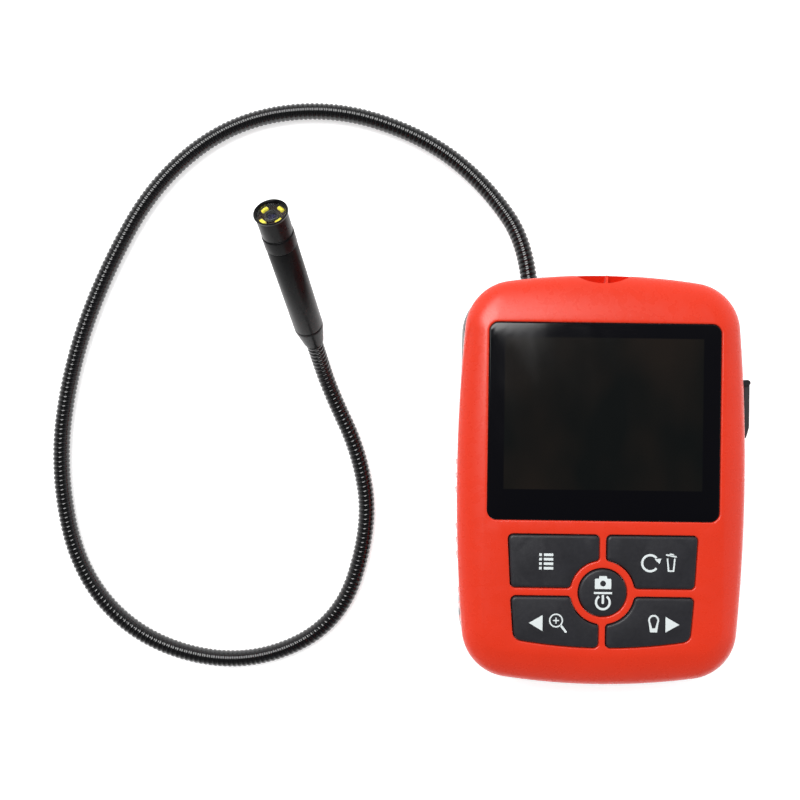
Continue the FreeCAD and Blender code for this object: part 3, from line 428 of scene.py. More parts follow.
def rounded_rectangle(x, y, half_x, half_y, radius, corner_steps=8, side_steps=12):
    """The outline of a rectangle about a centre, with round corners."""
    inner_x, inner_y = half_x - radius, half_y - radius
    return outline([
        (line(x + half_x, y, 0), radius, (x + inner_x, y + inner_y)),
        (line(x, y + half_y, 90), radius, (x - inner_x, y + inner_y)),
        (line(x - half_x, y, 180), radius, (x - inner_x, y - inner_y)),
        (line(x, y - half_y, 270), radius, (x + inner_x, y - inner_y))], corner_steps, side_steps)


def bar(x, y, width, height):
    """The four corners of a rectangle about a centre."""
    return [(x - width / 2, y - height / 2), (x + width / 2, y - height / 2),
            (x + width / 2, y + height / 2), (x - width / 2, y + height / 2)]


def round_outline(x, y, radius, steps=72):
    """A circle as (point, outward normal) pairs."""
    return [(Vector(around(x, y, radius, turn)), heading(turn)) for turn in turns_of(steps)]


# ---------------- camera

CAMERA_PLACE = (-0.05602, 0.0215, 0.307)
CAMERA_TURN = 0.01344

lens = bpy.data.cameras.new("view")
lens.lens = 45
lens.sensor_width = 36
lens.clip_start = 0.01
camera = new_object("view", lens)
camera.location = CAMERA_PLACE
camera.rotation_euler = (0, 0, CAMERA_TURN)
bpy.context.scene.camera = camera


# ---------------- gooseneck

CABLE_RADIUS = 2.5
RIB_PITCH = 1.42
RIB_DEPTH = 0.26
# the share of a rib's pitch that its round crown takes up
CROWN_SHARE = 0.78
# the height of the centre line where the cable lies on the floor, and its whole route, in metres
LYING = 0.00255
ROUTE = [
    (-0.0175, 0.046, 0.010), (-0.0175, 0.066, 0.010), (-0.031, 0.087, 0.005), (-0.050, 0.102, LYING),
    (-0.078, 0.1105, LYING), (-0.1075, 0.106, LYING), (-0.131, 0.0875, LYING), (-0.1465, 0.059, LYING),
    (-0.1565, 0.030, LYING), (-0.160, -0.0005, LYING), (-0.153, -0.033, LYING), (-0.1325, -0.0535, LYING),
    (-0.1015, -0.060, LYING), (-0.0735, -0.047, LYING), (-0.0645, -0.017, LYING), (-0.068, 0.005, LYING),
    (-0.0775, 0.0245, LYING), (-0.081, 0.036, 0.0087), (-0.0829, 0.0435, 0.0196)]
# from the route's last point but one to the head's foot, in millimetres
HEAD_OFFSET = 4.5


def cable_path():
    """Points along the gooseneck's centre line, in metres."""
    curve = bpy.data.curves.new("gooseneck_line", "CURVE")
    curve.dimensions = "3D"
    curve.resolution_u = 48
    spline = curve.splines.new("NURBS")
    spline.points.add(len(ROUTE) - 1)
    for point, place_on_route in zip(spline.points, ROUTE):
        point.co = (*place_on_route, 1)
    spline.order_u = 3
    spline.use_endpoint_u = True
    guide = new_object("gooseneck_line", curve)
    depsgraph = bpy.context.evaluated_depsgraph_get()
    line_mesh = bpy.data.meshes.new_from_object(guide.evaluated_get(depsgraph))
    points = [vertex.co.copy() for vertex in line_mesh.vertices]
    bpy.data.objects.remove(guide)
    return points


def rib_height(share):
    """The sleeve's profile over one rib: a round crown with a narrow groove after it."""
    if share >= CROWN_SHARE:
        return 0.0
    reach = (share - CROWN_SHARE / 2) / (CROWN_SHARE / 2)
    return math.sqrt(max(0.0, 1 - reach ** 2)) ** 0.8


def make_gooseneck():
    """The sleeve's helical ribs, wound round the centre line as one long strip, and the line in metres."""
    path = cable_path()
    centres = [point / MM for point in path]
    reached = [0.0]
    for low, high in zip(centres, centres[1:]):
        reached.append(reached[-1] + (high - low).length)
    across = Vector((0, 0, 1))
    sides = []
    for here in range(len(centres)):
        along = (centres[min(here + 1, len(centres) - 1)] - centres[max(here - 1, 0)]).normalized()
        across = (across - along * across.dot(along)).normalized()
        sides.append((across.copy(), along.cross(across)))
    count = 30
    profile = [0, 0.05, 0.14, 0.26, 0.39, 0.52, 0.64, 0.73, CROWN_SHARE, 0.89]
    turns = int(reached[-1] / RIB_PITCH) - 1
    shape = Shape()
    steps = count * turns + count
    segment = 0
    rows = []
    for step in range(steps):
        turn = math.tau * step / count
        row = []
        for share in profile:
            distance = RIB_PITCH * (step / count + share)
            while segment < len(reached) - 2 and reached[segment + 1] < distance:
                segment += 1
            while segment > 0 and reached[segment] > distance:
                segment -= 1
            part = min((distance - reached[segment]) / (reached[segment + 1] - reached[segment]), 1)
            middle = centres[segment].lerp(centres[segment + 1], part)
            side, up = (a.lerp(b, part).normalized() for a, b in zip(sides[segment], sides[segment + 1]))
            radius = CABLE_RADIUS - RIB_DEPTH * (1 - rib_height(share))
            row.append(middle + (side * math.cos(turn) + up * math.sin(turn)) * radius)
        rows.append(shape.add(row))
    width = len(profile)
    for step in range(steps - count - 1):
        low, high = rows[step], rows[step + 1]
        for here in range(width - 1):
            shape.faces.append((low[here], high[here], high[here + 1], low[here + 1]))
        # the rib's last edge meets the first edge of the same rib one turn on
        shape.faces.append((low[-1], high[-1], rows[step + 1 + count][0], rows[step + count][0]))
    # each end is closed to the centre line across the last turn
    first = [rows[step][0] for step in range(count)] + list(reversed(rows[0][1:]))
    first.insert(count, rows[count][0])
    shape.fan(first, centres[0])
    final = steps - count - 1
    last = [rows[final + step][0] for step in range(count + 1)] + list(reversed(rows[final][1:]))
    shape.fan(last, centres[-1])
    used = {number for face in shape.faces for number in face}
    renumber = {number: place_in for place_in, number in enumerate(sorted(used))}
    shape.points = [shape.points[number] for number in sorted(used)]
    shape.faces = [tuple(renumber[number] for number in face) for face in shape.faces]
    sleeve = place(mesh_object("gooseneck_sleeve", shape, 60), "cable_jacket", "gooseneck")
    return sleeve, path


sleeve, cable_line = make_gooseneck()


# ---------------- camera head

head_axis = (Vector(ROUTE[-1]) - Vector(ROUTE[-2])).normalized()
head_foot = Vector(ROUTE[-2]) / MM + head_axis * HEAD_OFFSET
HEAD_TURN = Vector((0, 0, 1)).rotation_difference(head_axis).to_matrix()


# heights along the head from its foot
LAMP_FOOT, WINDOW_FOOT, WINDOW_TOP = 51.5, 52.32, 52.7
# the head's outer radius, the cap's bore and the window's radius
HEAD_RADIUS, CAP_BORE, WINDOW_RADIUS = 4.2, 3.55, 3.72


def on_head(point):
    """From the head's own axes, with its foot at zero, to the frame's axes in millimetres."""
    return head_foot + HEAD_TURN @ Vector(point)


def on_entry(point):
    """From axes with the cable's entry along the third number, to the frame's axes in millimetres."""
    return Vector((ROUTE[0][0] / MM + point[0], point[2], ROUTE[0][2] / MM - point[1]))


def turned(name, profile, slot, *replaced, where=on_head, count=96, crease=SHARP, look=None):
    """A turned piece from its closed outline of (radius, height) points."""
    shape = Shape()
    rings = []
    for radius, height in profile:
        if radius == 0:
            rings.append(shape.add([where((0, 0, height))]))
            continue
        rings.append(shape.add([where((*around(0, 0, radius, turn), height)) for turn in turns_of(count)]))
    for low, high in zip(rings, rings[1:] + rings[:1]):
        if len(low) == 1 and len(high) == 1:
            continue
        if len(low) == 1 or len(high) == 1:
            tip, hoop = (low[0], high) if len(low) == 1 else (high[0], low)
            for here in range(count):
                shape.faces.append((hoop[here], hoop[(here + 1) % count], tip))
        else:
            shape.band(low, high)
    return place(mesh_object(name, shape, crease), slot, *replaced, look=look)


def softened(profile, size=0.08):
    """The outline with a small bevel of three points in place of each corner off the axis."""
    soft = []
    for here, (radius, height) in enumerate(profile):
        corner = Vector((radius, height))
        before, after = Vector(profile[here - 1]), Vector(profile[(here + 1) % len(profile)])
        if radius == 0:
            soft.append((radius, height))
            continue
        back, ahead = (before - corner), (after - corner)
        trim = min(size, back.length * 0.35, ahead.length * 0.35)
        start, end = corner + back.normalized() * trim, corner + ahead.normalized() * trim
        middle = (start + end) / 2 * 0.45 + corner * 0.55
        soft += [tuple(start), tuple(middle), tuple(end)]
    return soft


def make_head():
    """The head's turned pieces, from the cable outwards."""
    ferrule = turned("probe_ferrule", softened([
        (CABLE_RADIUS, 0), (2.85, 0), (3.05, 0.8), (4.1, 6.6), (HEAD_RADIUS, 7.2), (HEAD_RADIUS, 8.02),
        (3.5, 8.02), (CABLE_RADIUS, 7)], 0.15), "head_metal", "head_ferrule")
    barrel = turned("probe_barrel", softened([
        (3.5, 8.1), (HEAD_RADIUS, 8.1), (HEAD_RADIUS, 41.3), (3.7, 41.3), (3.7, 45), (3.1, 45),
        (3.1, 13.5), (3.5, 12.5)], 0.12), "head_metal", "head_barrel")
    cap = turned("probe_cap", softened([
        (3.72, 41.45), (HEAD_RADIUS, 41.45), (4.3, 41.6), (4.3, 45.55), (4.18, 45.8), (4.02, 45.85),
        (4.02, 46.05), (4.14, 46.15), (HEAD_RADIUS, 52.3), (4.52, 52.95), (4.48, 53.2), (4.25, 53.2),
        (3.95, 52.95), (3.8, 52.75), (3.75, 52.3), (CAP_BORE, 52.3), (CAP_BORE, 45.6), (3.72, 45.6)]),
        "head_metal", "head_cap")
    board_foot, board_bore, board_radius = 50.8, 1.85, 3.5
    board = turned("lamp_board", softened([
        (board_bore, board_foot), (board_radius, board_foot), (board_radius, LAMP_FOOT),
        (board_bore, LAMP_FOOT)], 0.05), "chip_black", "led_board", look=lamp_board_mask)
    lens_tube = turned("lens_tube", softened([
        (1.2, 47.3), (1.8, 47.3), (1.8, 52.0), (1.5, 52.0), (1.3, 51.6), (1.2, 50.4)], 0.06),
        "black_plastic", "lens_barrel")
    glass_top = [(1.3, 51.25), (1.1, 51.45), (0.8, 51.62), (0.4, 51.74), (0, 51.78)]
    front_lens = turned("front_lens", [(0, 50.45), (1.3, 50.45), *glass_top], "lens_glass", "lens_glass",
                        crease=60)
    window = turned("probe_window", softened([
        (0, WINDOW_FOOT), (WINDOW_RADIUS, WINDOW_FOOT), (WINDOW_RADIUS, WINDOW_TOP), (0, WINDOW_TOP)], 0.05),
        "head_glass", "head_window")
    return [ferrule, barrel, cap, board, lens_tube, front_lens, window]


def make_lamps():
    """Four yellow phosphor lamps in a ring round the lens, each with a softened top."""
    inner, outer, half_width, radius, middle, top = 2.42, 3.42, 0.95, 0.3, 2.95, 52.17
    shape = Shape()
    for quarter in range(4):
        spin = Matrix.Rotation(math.radians(45 + 90 * quarter), 3, "Z")
        pad = outline([
            (arc(0, 0, outer), radius, (2.9, 0.7)),
            (line(0, half_width, 90), radius, (2.6, 0.6)),
            (arc(0, 0, inner, -1), radius, (2.6, -0.6)),
            (line(0, -half_width, 270), radius, (2.9, -0.7))], 6, 6)
        rings = []
        for offset, height in ((0, LAMP_FOOT), (0, 51.92), (-0.06, 52.04), (-0.16, 52.12), (-0.28, 52.16)):
            rings.append([on_head(spin @ Vector(point)) for point in ring(pad, offset, height)])
        shape.pointed(rings, on_head(spin @ Vector((middle, 0, LAMP_FOOT))),
                      on_head(spin @ Vector((middle, 0, top))))
    return place(mesh_object("ring_lamps", shape), "led_phosphor", "head_leds")


head_pieces = [*make_head(), make_lamps()]

turned("cable_entry_grommet", softened([
    (2.42, 51.6), (5.2, 51.6), (5.2, 52.75), (3.98, 52.8), (3.98, 56.3), (3.7, 56.7), (3.2, 57.0),
    (2.75, 57.0), (2.42, 56.7)], 0.25), "black_rubber", "cable_grommet", where=on_entry)


# ---------------- key outlines

KEYPAD_Y = -30.65
POWER_RADIUS = 6.47
# the four outer keys keep clear of the power key along this circle
RING_BITE = arc(0, KEYPAD_Y, 8.98, -1)
# the gap between a key and the edge of its opening
CLEARANCE = 0.25
# the keys' small move along +X and how much further apart they stand, as measured
KEYPAD_SHIFT, KEYPAD_STRETCH = 0.27, 0.01


def key_outlines():
    """The five keys' outlines by name."""
    near = line(1.12, 0, 180)
    upper = outline([
        (line(25.3, -22, -3.2), 1.2, (24, -17)),
        (line(0, -15.0, 90), 1.2, (2.5, -16.5)),
        (near, 0.9, (2.5, -20.5)),
        (RING_BITE, 1.0, (10, -28)),
        (line(0, -29.35, 270), 1.2, (24, -28))])
    lower = outline([
        (line(24.4, -37.3, -4.6), 1.2, (23, -33)),
        (line(0, -31.95, 90), 1.0, (10, -33)),
        (RING_BITE, 0.9, (2.5, -40.5)),
        (near, 1.2, (2.5, -44)),
        (arc(0, 91.25, 137), 2.3, (21, -42))])
    return {"menu": mirrored(upper), "rotate_delete": upper, "zoom": mirrored(lower), "light": lower,
            "power": round_outline(0, KEYPAD_Y, POWER_RADIUS)}


def placed(pairs):
    """A key's outline at its measured place."""
    return [(edge + Vector((KEYPAD_SHIFT + edge.x * KEYPAD_STRETCH, 0)), normal) for edge, normal in pairs]


KEYS = {name: placed(pairs) for name, pairs in key_outlines().items()}


# ---------------- front housing

# heights: the flat face, the line where the two halves meet and the start of the shoulder
FACE, PARTING, SHOULDER = 32.6, 15.0, 28.0
WALL = 2.4
HALF_WIDTH, HALF_LENGTH = 40.1, 57.0
FRONT_SHIFT = 0.25
# the radii of the bowed sides, the bowed ends and the corners between them
SIDE_BOW, END_BOW, CORNER = 490.0, 187.0, 13.8
# how far the wall's foot leans in, the rounding of the openings' edges and the turn of the shoulder
DRAFT, LIP, CROWN = 0.9, 0.38, math.radians(65)
# the notch: its depth from the end, its arc's radius and half turn, its floor's height and slope
NOTCH_DEPTH, NOTCH_RADIUS, NOTCH_REACH = 2.45, 14.3, math.radians(43.9)
NOTCH_FLOOR, NOTCH_SLOPE = 24.6, 1.15
PORT_Y, PORT_Z = 19.5, 21.9
PORT_HALF_LENGTH, PORT_HALF_HEIGHT = 6.6, 4.3
WINDOW_X, WINDOW_Y = 0.25, 16.2
WINDOW_HALF, WINDOW_CORNER = (32.0, 27.25), 2.7


def bowed_outline(shift, half_width, half_length, side_bow, end_bow, corner):
    """A housing's plan: bowed sides and ends with round corners."""
    x, y = side_bow - half_width, end_bow - half_length
    near_x, near_y = half_width - corner - 1, half_length - corner - 2
    return outline([
        (arc(shift - x, 0, side_bow), corner, (near_x, near_y)),
        (arc(shift, -y, end_bow), corner, (-near_x, near_y)),
        (arc(shift + x, 0, side_bow), corner, (-near_x, -near_y)),
        (arc(shift, y, end_bow), corner, (near_x, -near_y))], 20, 44)


def make_front_housing():
    """The red front half: a drafted wall, a round shoulder and a flat face with the openings in it."""
    outer = bowed_outline(FRONT_SHIFT, HALF_WIDTH, HALF_LENGTH, SIDE_BOW, END_BOW, CORNER)
    border = outline([
        (line(32.95, 0, 0), 3.5, (29, 41)),
        (arc(0, 44.4 - 1200, 1200), 3.2, (-29, 41)),
        (line(-32.4, 0, 180), 6.0, (-26, -41)),
        (arc(0, -47.8 + 300, 300), 6.0, (26, -41))], 20, 44)
    window = rounded_rectangle(WINDOW_X, WINDOW_Y, *WINDOW_HALF, WINDOW_CORNER, 10, 16)
    openings = [(window, 0.0)] + [(pairs, CLEARANCE) for pairs in KEYS.values()]

    def shoulder(wall, steps):
        """Rings up the drafted wall and over the shoulder to the flat face."""
        rings = []
        for rise in (0, 0.2, 0.4, 0.6, 0.8):
            height = PARTING + 0.4 + rise * (SHOULDER - PARTING - 0.4)
            rings.append(ring(outer, -wall - DRAFT * (1 - rise) ** 1.5, height))
        for step in range(steps + 1):
            turn = CROWN * step / steps
            reach = (math.cos(turn) - math.cos(CROWN)) / (1 - math.cos(CROWN))
            height = SHOULDER + (FACE - wall - SHOULDER) * math.sin(turn) / math.sin(CROWN)
            rings.append([(*(rim + (edge - normal * wall - rim) * reach), height)
                          for (edge, normal), (rim, _) in zip(outer, border)])
        return rings

    shape = Shape()
    low_rim, face_rim = shape.loft([
        ring(outer, -DRAFT - 0.3, PARTING), ring(outer, -DRAFT - 0.08, PARTING + 0.1), *shoulder(0, 16)])
    inner_rim, ceiling_rim = shape.loft([ring(outer, -WALL - DRAFT, PARTING), *shoulder(WALL, 8)])
    shape.band(low_rim, inner_rim)
    face_loops, ceiling_loops = [], []
    for pairs, clearance in openings:
        rings = []
        for step in range(6):
            turn = math.pi / 2 * step / 5
            spare = clearance + LIP * (1 - math.sin(turn))
            rings.append(ring(pairs, spare, FACE - LIP * (1 - math.cos(turn))))
        rings.append(ring(pairs, clearance, FACE - WALL))
        face_loop, ceiling_loop = shape.loft(rings)
        face_loops.append(face_loop)
        ceiling_loops.append(ceiling_loop)
    shape.cover(face_rim, *face_loops)
    shape.cover(ceiling_rim, *ceiling_loops)
    housing = mesh_object("front_housing", shape)
    cut_notch(housing)
    cut_port(housing)
    return place(housing, "red_shell", "front_shell")


def upright(name, pairs, low, high):
    """A straight block from an outline, between two heights."""
    return mesh_object(name, Shape().solid([ring(pairs, 0, low), ring(pairs, 0, high)]))


def cut_notch(housing):
    """A shallow scoop with a sloping floor in the top end, and the one thin rib that is left in it."""
    carve(housing, upright("notch_backing", rounded_rectangle(0, 53.4, 9.5, 1.8, 0.4), 19.5, 29.4), "UNION")
    bowl_start, above = HALF_LENGTH - NOTCH_DEPTH, 40
    bowl = []
    for step in range(-24, 25):
        turn = NOTCH_REACH * step / 24
        bowl.append((NOTCH_RADIUS * math.sin(turn), bowl_start + NOTCH_RADIUS * (1 - math.cos(turn))))
    scoop = mesh_object("notch_tool", Shape().solid([
        [(x, y, NOTCH_FLOOR + NOTCH_SLOPE * (y - bowl_start)) for x, y in bowl],
        [(x, y, above) for x, y in bowl]]))
    carve(scoop, upright("notch_rib", rounded_rectangle(1.2, 55.6, 0.35, 1.9, 0.3), 10, 28.3))
    carve(housing, scoop)


def cut_port(housing):
    """The opening in the right side, in front of the two sockets."""
    inner, outer = 34, 46
    mouth = rounded_rectangle(PORT_Y, PORT_Z, PORT_HALF_LENGTH, PORT_HALF_HEIGHT, 1.0, 6, 4)
    rings = [[(depth, y, z) for y, z, _ in ring(mouth, 0, 0)] for depth in (inner, outer)]
    port = Shape().pointed(rings, (inner, PORT_Y, PORT_Z), (outer, PORT_Y, PORT_Z))
    carve(housing, mesh_object("port_tool", port))


REAR_HALF_WIDTH, REAR_HALF_LENGTH, REAR_SIDE_BOW, REAR_END_BOW = 37.8, 56.5, 3000.0, 420.0
REAR_CORNER, REAR_EDGE, REAR_WALL = 14.0, 5.0, 2.2
POST_X, POST_Y = 33.8, 43.0
ENTRY_X, ENTRY_Z = -17.5, 10.0
BAY_HALF_WIDTH, BAY_LOW, BAY_HIGH, BAY_CEILING = 29.8, -51.0, 5.2, 18.2
# the walls round the battery bay: their outer half width, and where they start and end along Y
BAY_BLOCK = (BAY_HALF_WIDTH + 1.2, BAY_LOW - 1.2, BAY_HIGH + 1.4)
RAIL_HALF_WIDTH, CHANNEL_HALF_WIDTH, DOOR_HALF_WIDTH, DOOR_HIGH = 32.2, 30.9, 29.1, 2.15


def block(name, low, high):
    """A box between its lowest and its highest corner."""
    shape = Shape()
    corners = bar((low[0] + high[0]) / 2, (low[1] + high[1]) / 2, high[0] - low[0], high[1] - low[1])
    bottom, top = shape.loft([[(x, y, height) for x, y in corners] for height in (low[2], high[2])])
    shape.faces += [tuple(bottom), tuple(top)]
    return mesh_object(name, shape)


def posts(name, levels):
    """A turned post on each of the four screw lines, from (radius, height) levels."""
    shape = Shape()
    for x in (-POST_X, POST_X):
        for y in (-POST_Y, POST_Y):
            shape.solid([ring(round_outline(x, y, radius), 0, height) for radius, height in levels])
    return mesh_object(name, shape)


def cross_bore(name, radius, near, far):
    """A round bar along Y on the gooseneck's entry line."""
    hoop = ring(round_outline(ENTRY_X, ENTRY_Z, radius), 0, 0)
    rings = [[(x, depth, z) for x, z, _ in hoop] for depth in (near, far)]
    return mesh_object(name, Shape().pointed(rings, (ENTRY_X, near, ENTRY_Z), (ENTRY_X, far, ENTRY_Z)))


def make_rear_housing():
    """The rear half: a tub with the battery bay, the screw posts and the gooseneck's seat."""
    outer = bowed_outline(0, REAR_HALF_WIDTH, REAR_HALF_LENGTH, REAR_SIDE_BOW, REAR_END_BOW, REAR_CORNER)

    def edge(radius, wall):
        """Rings round the bottom edge, from the flat up to the side wall."""
        turns = [math.pi / 2 * step / 8 for step in range(9)]
        return [ring(outer, -wall - radius * (1 - math.sin(turn)), wall + radius * (1 - math.cos(turn)))
                for turn in turns]

    shape = Shape()
    floor, rim = shape.loft([
        *edge(REAR_EDGE, 0), ring(outer, 0, PARTING - 0.25), ring(outer, -0.25, PARTING)])
    inner_floor, inner_rim = shape.loft([
        *edge(REAR_EDGE - REAR_WALL, REAR_WALL), ring(outer, -REAR_WALL, PARTING)])
    shape.band(rim, inner_rim)
    shape.cover(floor)
    shape.cover(inner_floor)
    housing = mesh_object("rear_housing", shape)
    block_width, block_low, block_high = BAY_BLOCK
    additions = [
        posts("rear_posts", [(3.0, REAR_WALL - 0.4), (3.0, PARTING - 0.05)]),
        block("bay_rails", (-RAIL_HALF_WIDTH, block_low, REAR_WALL - 0.3),
              (RAIL_HALF_WIDTH, block_high - 0.1, 5)),
        block("bay_block", (-block_width, block_low - 0.05, 2), (block_width, block_high, BAY_CEILING + 1.2)),
        block("grommet_seat", (ENTRY_X - 6.5, 52.85, 2), (ENTRY_X + 6.5, 54.8, PARTING - 0.1)),
        block("clamp_cradle", (ENTRY_X - 8, 46.4, 2), (ENTRY_X + 8, 50.4, ENTRY_Z - 0.2)),
    ]
    for addition in additions:
        carve(housing, addition, "UNION")
    cuts = [
        block("cell_space", (-BAY_HALF_WIDTH, BAY_LOW, 3), (BAY_HALF_WIDTH, BAY_HIGH, BAY_CEILING)),
        block("door_channel", (-CHANNEL_HALF_WIDTH, -60, REAR_WALL + 0.02),
              (CHANNEL_HALF_WIDTH, DOOR_HIGH + 0.02, 3.45)),
        block("door_opening", (-DOOR_HALF_WIDTH, -60.1, -1), (DOOR_HALF_WIDTH, DOOR_HIGH, REAR_WALL + 0.1)),
        block("door_end_opening", (-DOOR_HALF_WIDTH - 0.01, -60.2, -1.1),
              (DOOR_HALF_WIDTH + 0.01, BAY_LOW - 1.75, 9.15)),
        cross_bore("cable_hole", 4.05, 51, 60),
        cross_bore("cradle_groove", 2.55, 44, 52),
        posts("screw_wells", [(2.6, -1), (2.6, 0.15), (2.38, 0.4), (2.35, 5.2), (1.45, 5.2), (1.45, 20)]),
    ]
    for cutter in cuts:
        carve(housing, cutter)
    return place(housing, "black_shell", "rear_shell")


# the grip ribs: their middle height, the space between groups and between ribs, and their half sizes
RIB_HEIGHT, GROUP_STEP, RIB_STEP = 21.5, 18.5, 4.0
RIB_HALF_LENGTH, RIB_HALF_HEIGHT = 0.8, 4.6


def make_grip_ribs():
    """Three groups of three upright ribs on each side."""
    root, tip = -1.8, -0.09
    shape = Shape()
    for side in (-1, 1):
        for group in range(3):
            for step in (-1, 0, 1):
                y = -GROUP_STEP * group + RIB_STEP * step
                wall = HALF_WIDTH + side * FRONT_SHIFT - y * y / (2 * SIDE_BOW)
                face = rounded_rectangle(y, RIB_HEIGHT, RIB_HALF_LENGTH, RIB_HALF_HEIGHT, 0.78, 8, 3)
                rings = []
                for depth, offset in ((root, 0), (-0.5, 0), (-0.3, -0.08), (-0.15, -0.25), (-0.1, -0.5)):
                    rings.append([(side * (wall + depth), a, b) for a, b, _ in ring(face, offset, 0)])
                shape.pointed(rings, (side * (wall + root), y, RIB_HEIGHT),
                              (side * (wall + tip), y, RIB_HEIGHT))
    return place(mesh_object("grip_ribs", shape, 50), "red_shell")


cover_low, cover_high = (Vector(corner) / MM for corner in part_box("port_cover"))
pin_low, pin_high = (Vector(corner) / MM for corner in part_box("port_cover_pin"))
# how far the surround's flat top lies behind the closed cover's outer face
SEAT_DEPTH = 1.75


def make_port_surround():
    """A raised flat frame round the side port."""
    seat = cover_high.x - SEAT_DEPTH
    root = seat - 2.4
    middle_y, middle_z = (cover_low.y + cover_high.y) / 2, (cover_low.z + cover_high.z) / 2
    half_y, half_z = (cover_high.y - cover_low.y) / 2 + 0.3, (cover_high.z - cover_low.z) / 2 + 0.2
    frame_edge = rounded_rectangle(middle_y, middle_z, half_y, half_z, 1.6)
    mouth = rounded_rectangle(PORT_Y, PORT_Z, PORT_HALF_LENGTH, PORT_HALF_HEIGHT, 1.0)
    shape = Shape()
    rings = [(frame_edge, 0, root), (frame_edge, 0, seat - 0.35), (frame_edge, -0.1, seat - 0.1),
             (frame_edge, -0.35, seat), (mouth, 0.25, seat), (mouth, 0.05, seat - 0.1),
             (mouth, 0, seat - 0.3), (mouth, 0, root)]
    first, last = shape.loft([[(depth, y, z) for y, z, _ in ring(pairs, offset, 0)]
                              for pairs, offset, depth in rings])
    shape.band(last, first)
    return place(mesh_object("port_surround", shape), "red_shell")


def make_hinge_lugs():
    """The two lugs that hold the port cover's pin, above and below the cover."""
    shape = Shape()
    pin_x, pin_y = (pin_low.x + pin_high.x) / 2, (pin_low.y + pin_high.y) / 2
    lug = rounded_rectangle(pin_x - 1.4, pin_y, 2.0, 0.75, 0.73)
    edge, spare = 0.12, 0.05
    for low, high in ((pin_low.z - spare, cover_low.z - edge), (cover_high.z + edge, pin_high.z + spare)):
        shape.solid([ring(lug, -edge, low), ring(lug, 0, low + edge), ring(lug, 0, high - edge),
                     ring(lug, -edge, high)])
    return place(mesh_object("hinge_lugs", shape), "black_shell")


def make_window():
    """The pane, with a polished bevel round its edge."""
    pane = rounded_rectangle(WINDOW_X, WINDOW_Y, 31.9, 27.15, 2.6, 12, 16)
    levels = ((0, 31.2), (0, 32.15), (-0.07, 32.3), (-0.22, 32.38), (-0.32, 32.4))
    shape = Shape().solid([ring(pane, offset, height) for offset, height in levels])
    return place(mesh_object("display_pane", shape), "window_glass", "display_window")


make_front_housing()
make_rear_housing()
make_grip_ribs()
make_port_surround()
make_hinge_lugs()
make_window()


# ---------------- keys and their symbols

# a key's height at its foot, at the start of its rounded edge and at its flat face
KEY_FOOT, KEY_EDGE, KEY_FACE = 29.4, 32.35, 32.95
KEY_ROUND = 0.55
# how far the printed ink goes into the face and stands over it
INK_DEPTH, INK = 0.15, 0.03


def make_key(name, pairs):
    """A key cap with a soft rounded edge and a faint crown."""
    rings = [ring(pairs, 0, KEY_FOOT), ring(pairs, 0, KEY_EDGE)]
    for step in range(1, 7):
        turn = math.pi / 2 * step / 6
        rings.append(ring(pairs, -KEY_ROUND * (1 - math.cos(turn)), KEY_EDGE + KEY_ROUND * math.sin(turn)))
    rings.append(ring(pairs, -0.85, KEY_FACE))
    shape = Shape().solid(rings)
    return place(mesh_object(f"{name}_cap", shape), "key_rubber", f"{name}_key", body=f"{name}_button")


def plate(shape, outer, *holes):
    """A thin printed patch on a key's top."""
    loops = [outer, *holes]
    levels = []
    for height in (KEY_FACE - INK_DEPTH, KEY_FACE + INK):
        levels.append([shape.add([(x, y, height) for x, y in loop]) for loop in loops])
    for low, high in zip(*levels):
        shape.band(low, high)
    for level in levels:
        shape.cover(*level)


def stroke(ax, ay, bx, by, width):
    """A straight stroke with round ends."""
    along = Vector((bx - ax, by - ay)).normalized()
    course = math.atan2(along.y, along.x)
    points = []
    for x, y, first in ((bx, by, course - math.pi / 2), (ax, ay, course + math.pi / 2)):
        points += [around(x, y, width / 2, first + math.pi * step / 8) for step in range(9)]
    return points


def sector(x, y, radius, width, start, end, steps=40):
    """An arc-shaped stroke between two angles in degrees."""
    turns = [math.radians(start + (end - start) * step / steps) for step in range(steps + 1)]
    outer = [around(x, y, radius + width / 2, turn) for turn in turns]
    return outer + [around(x, y, radius - width / 2, turn) for turn in reversed(turns)]


def circle(x, y, radius, steps=40):
    """The points of a circle about a centre."""
    return [around(x, y, radius, turn) for turn in turns_of(steps)]


def menu_symbol(shape):
    """Four list rows, each a dot and a bar."""
    middle, row_step = -22.2, 1.23
    for row in range(4):
        y = middle + row_step * (row - 1.5)
        plate(shape, bar(-16.93, y, 0.74, 0.72))
        plate(shape, bar(-14.72, y, 2.57, 0.72))


def rotate_delete_symbol(shape):
    """A round arrow, and a bin with its lid tipped up."""
    x, y = 13.15, -22.3
    plate(shape, sector(x, y, 2.2, 0.62, 40, 322))
    plate(shape, [(14.3, -21.15), (16.2, -21.0), (15.7, -22.45)])
    left, right, top, bottom, taper, width = 17.65, 20.1, -20.95, -24.6, 0.35, 0.42
    plate(shape, [
        (left, top), (left + taper, bottom), (right - taper, bottom), (right, top), (right - width, top),
        (right - taper - width, bottom + width), (left + taper + width, bottom + width), (left + width, top)])
    plate(shape, stroke(17.6, -19.95, 20.25, -20.5, width))
    plate(shape, stroke(18.65, -19.8, 19.4, -19.95, 0.5))


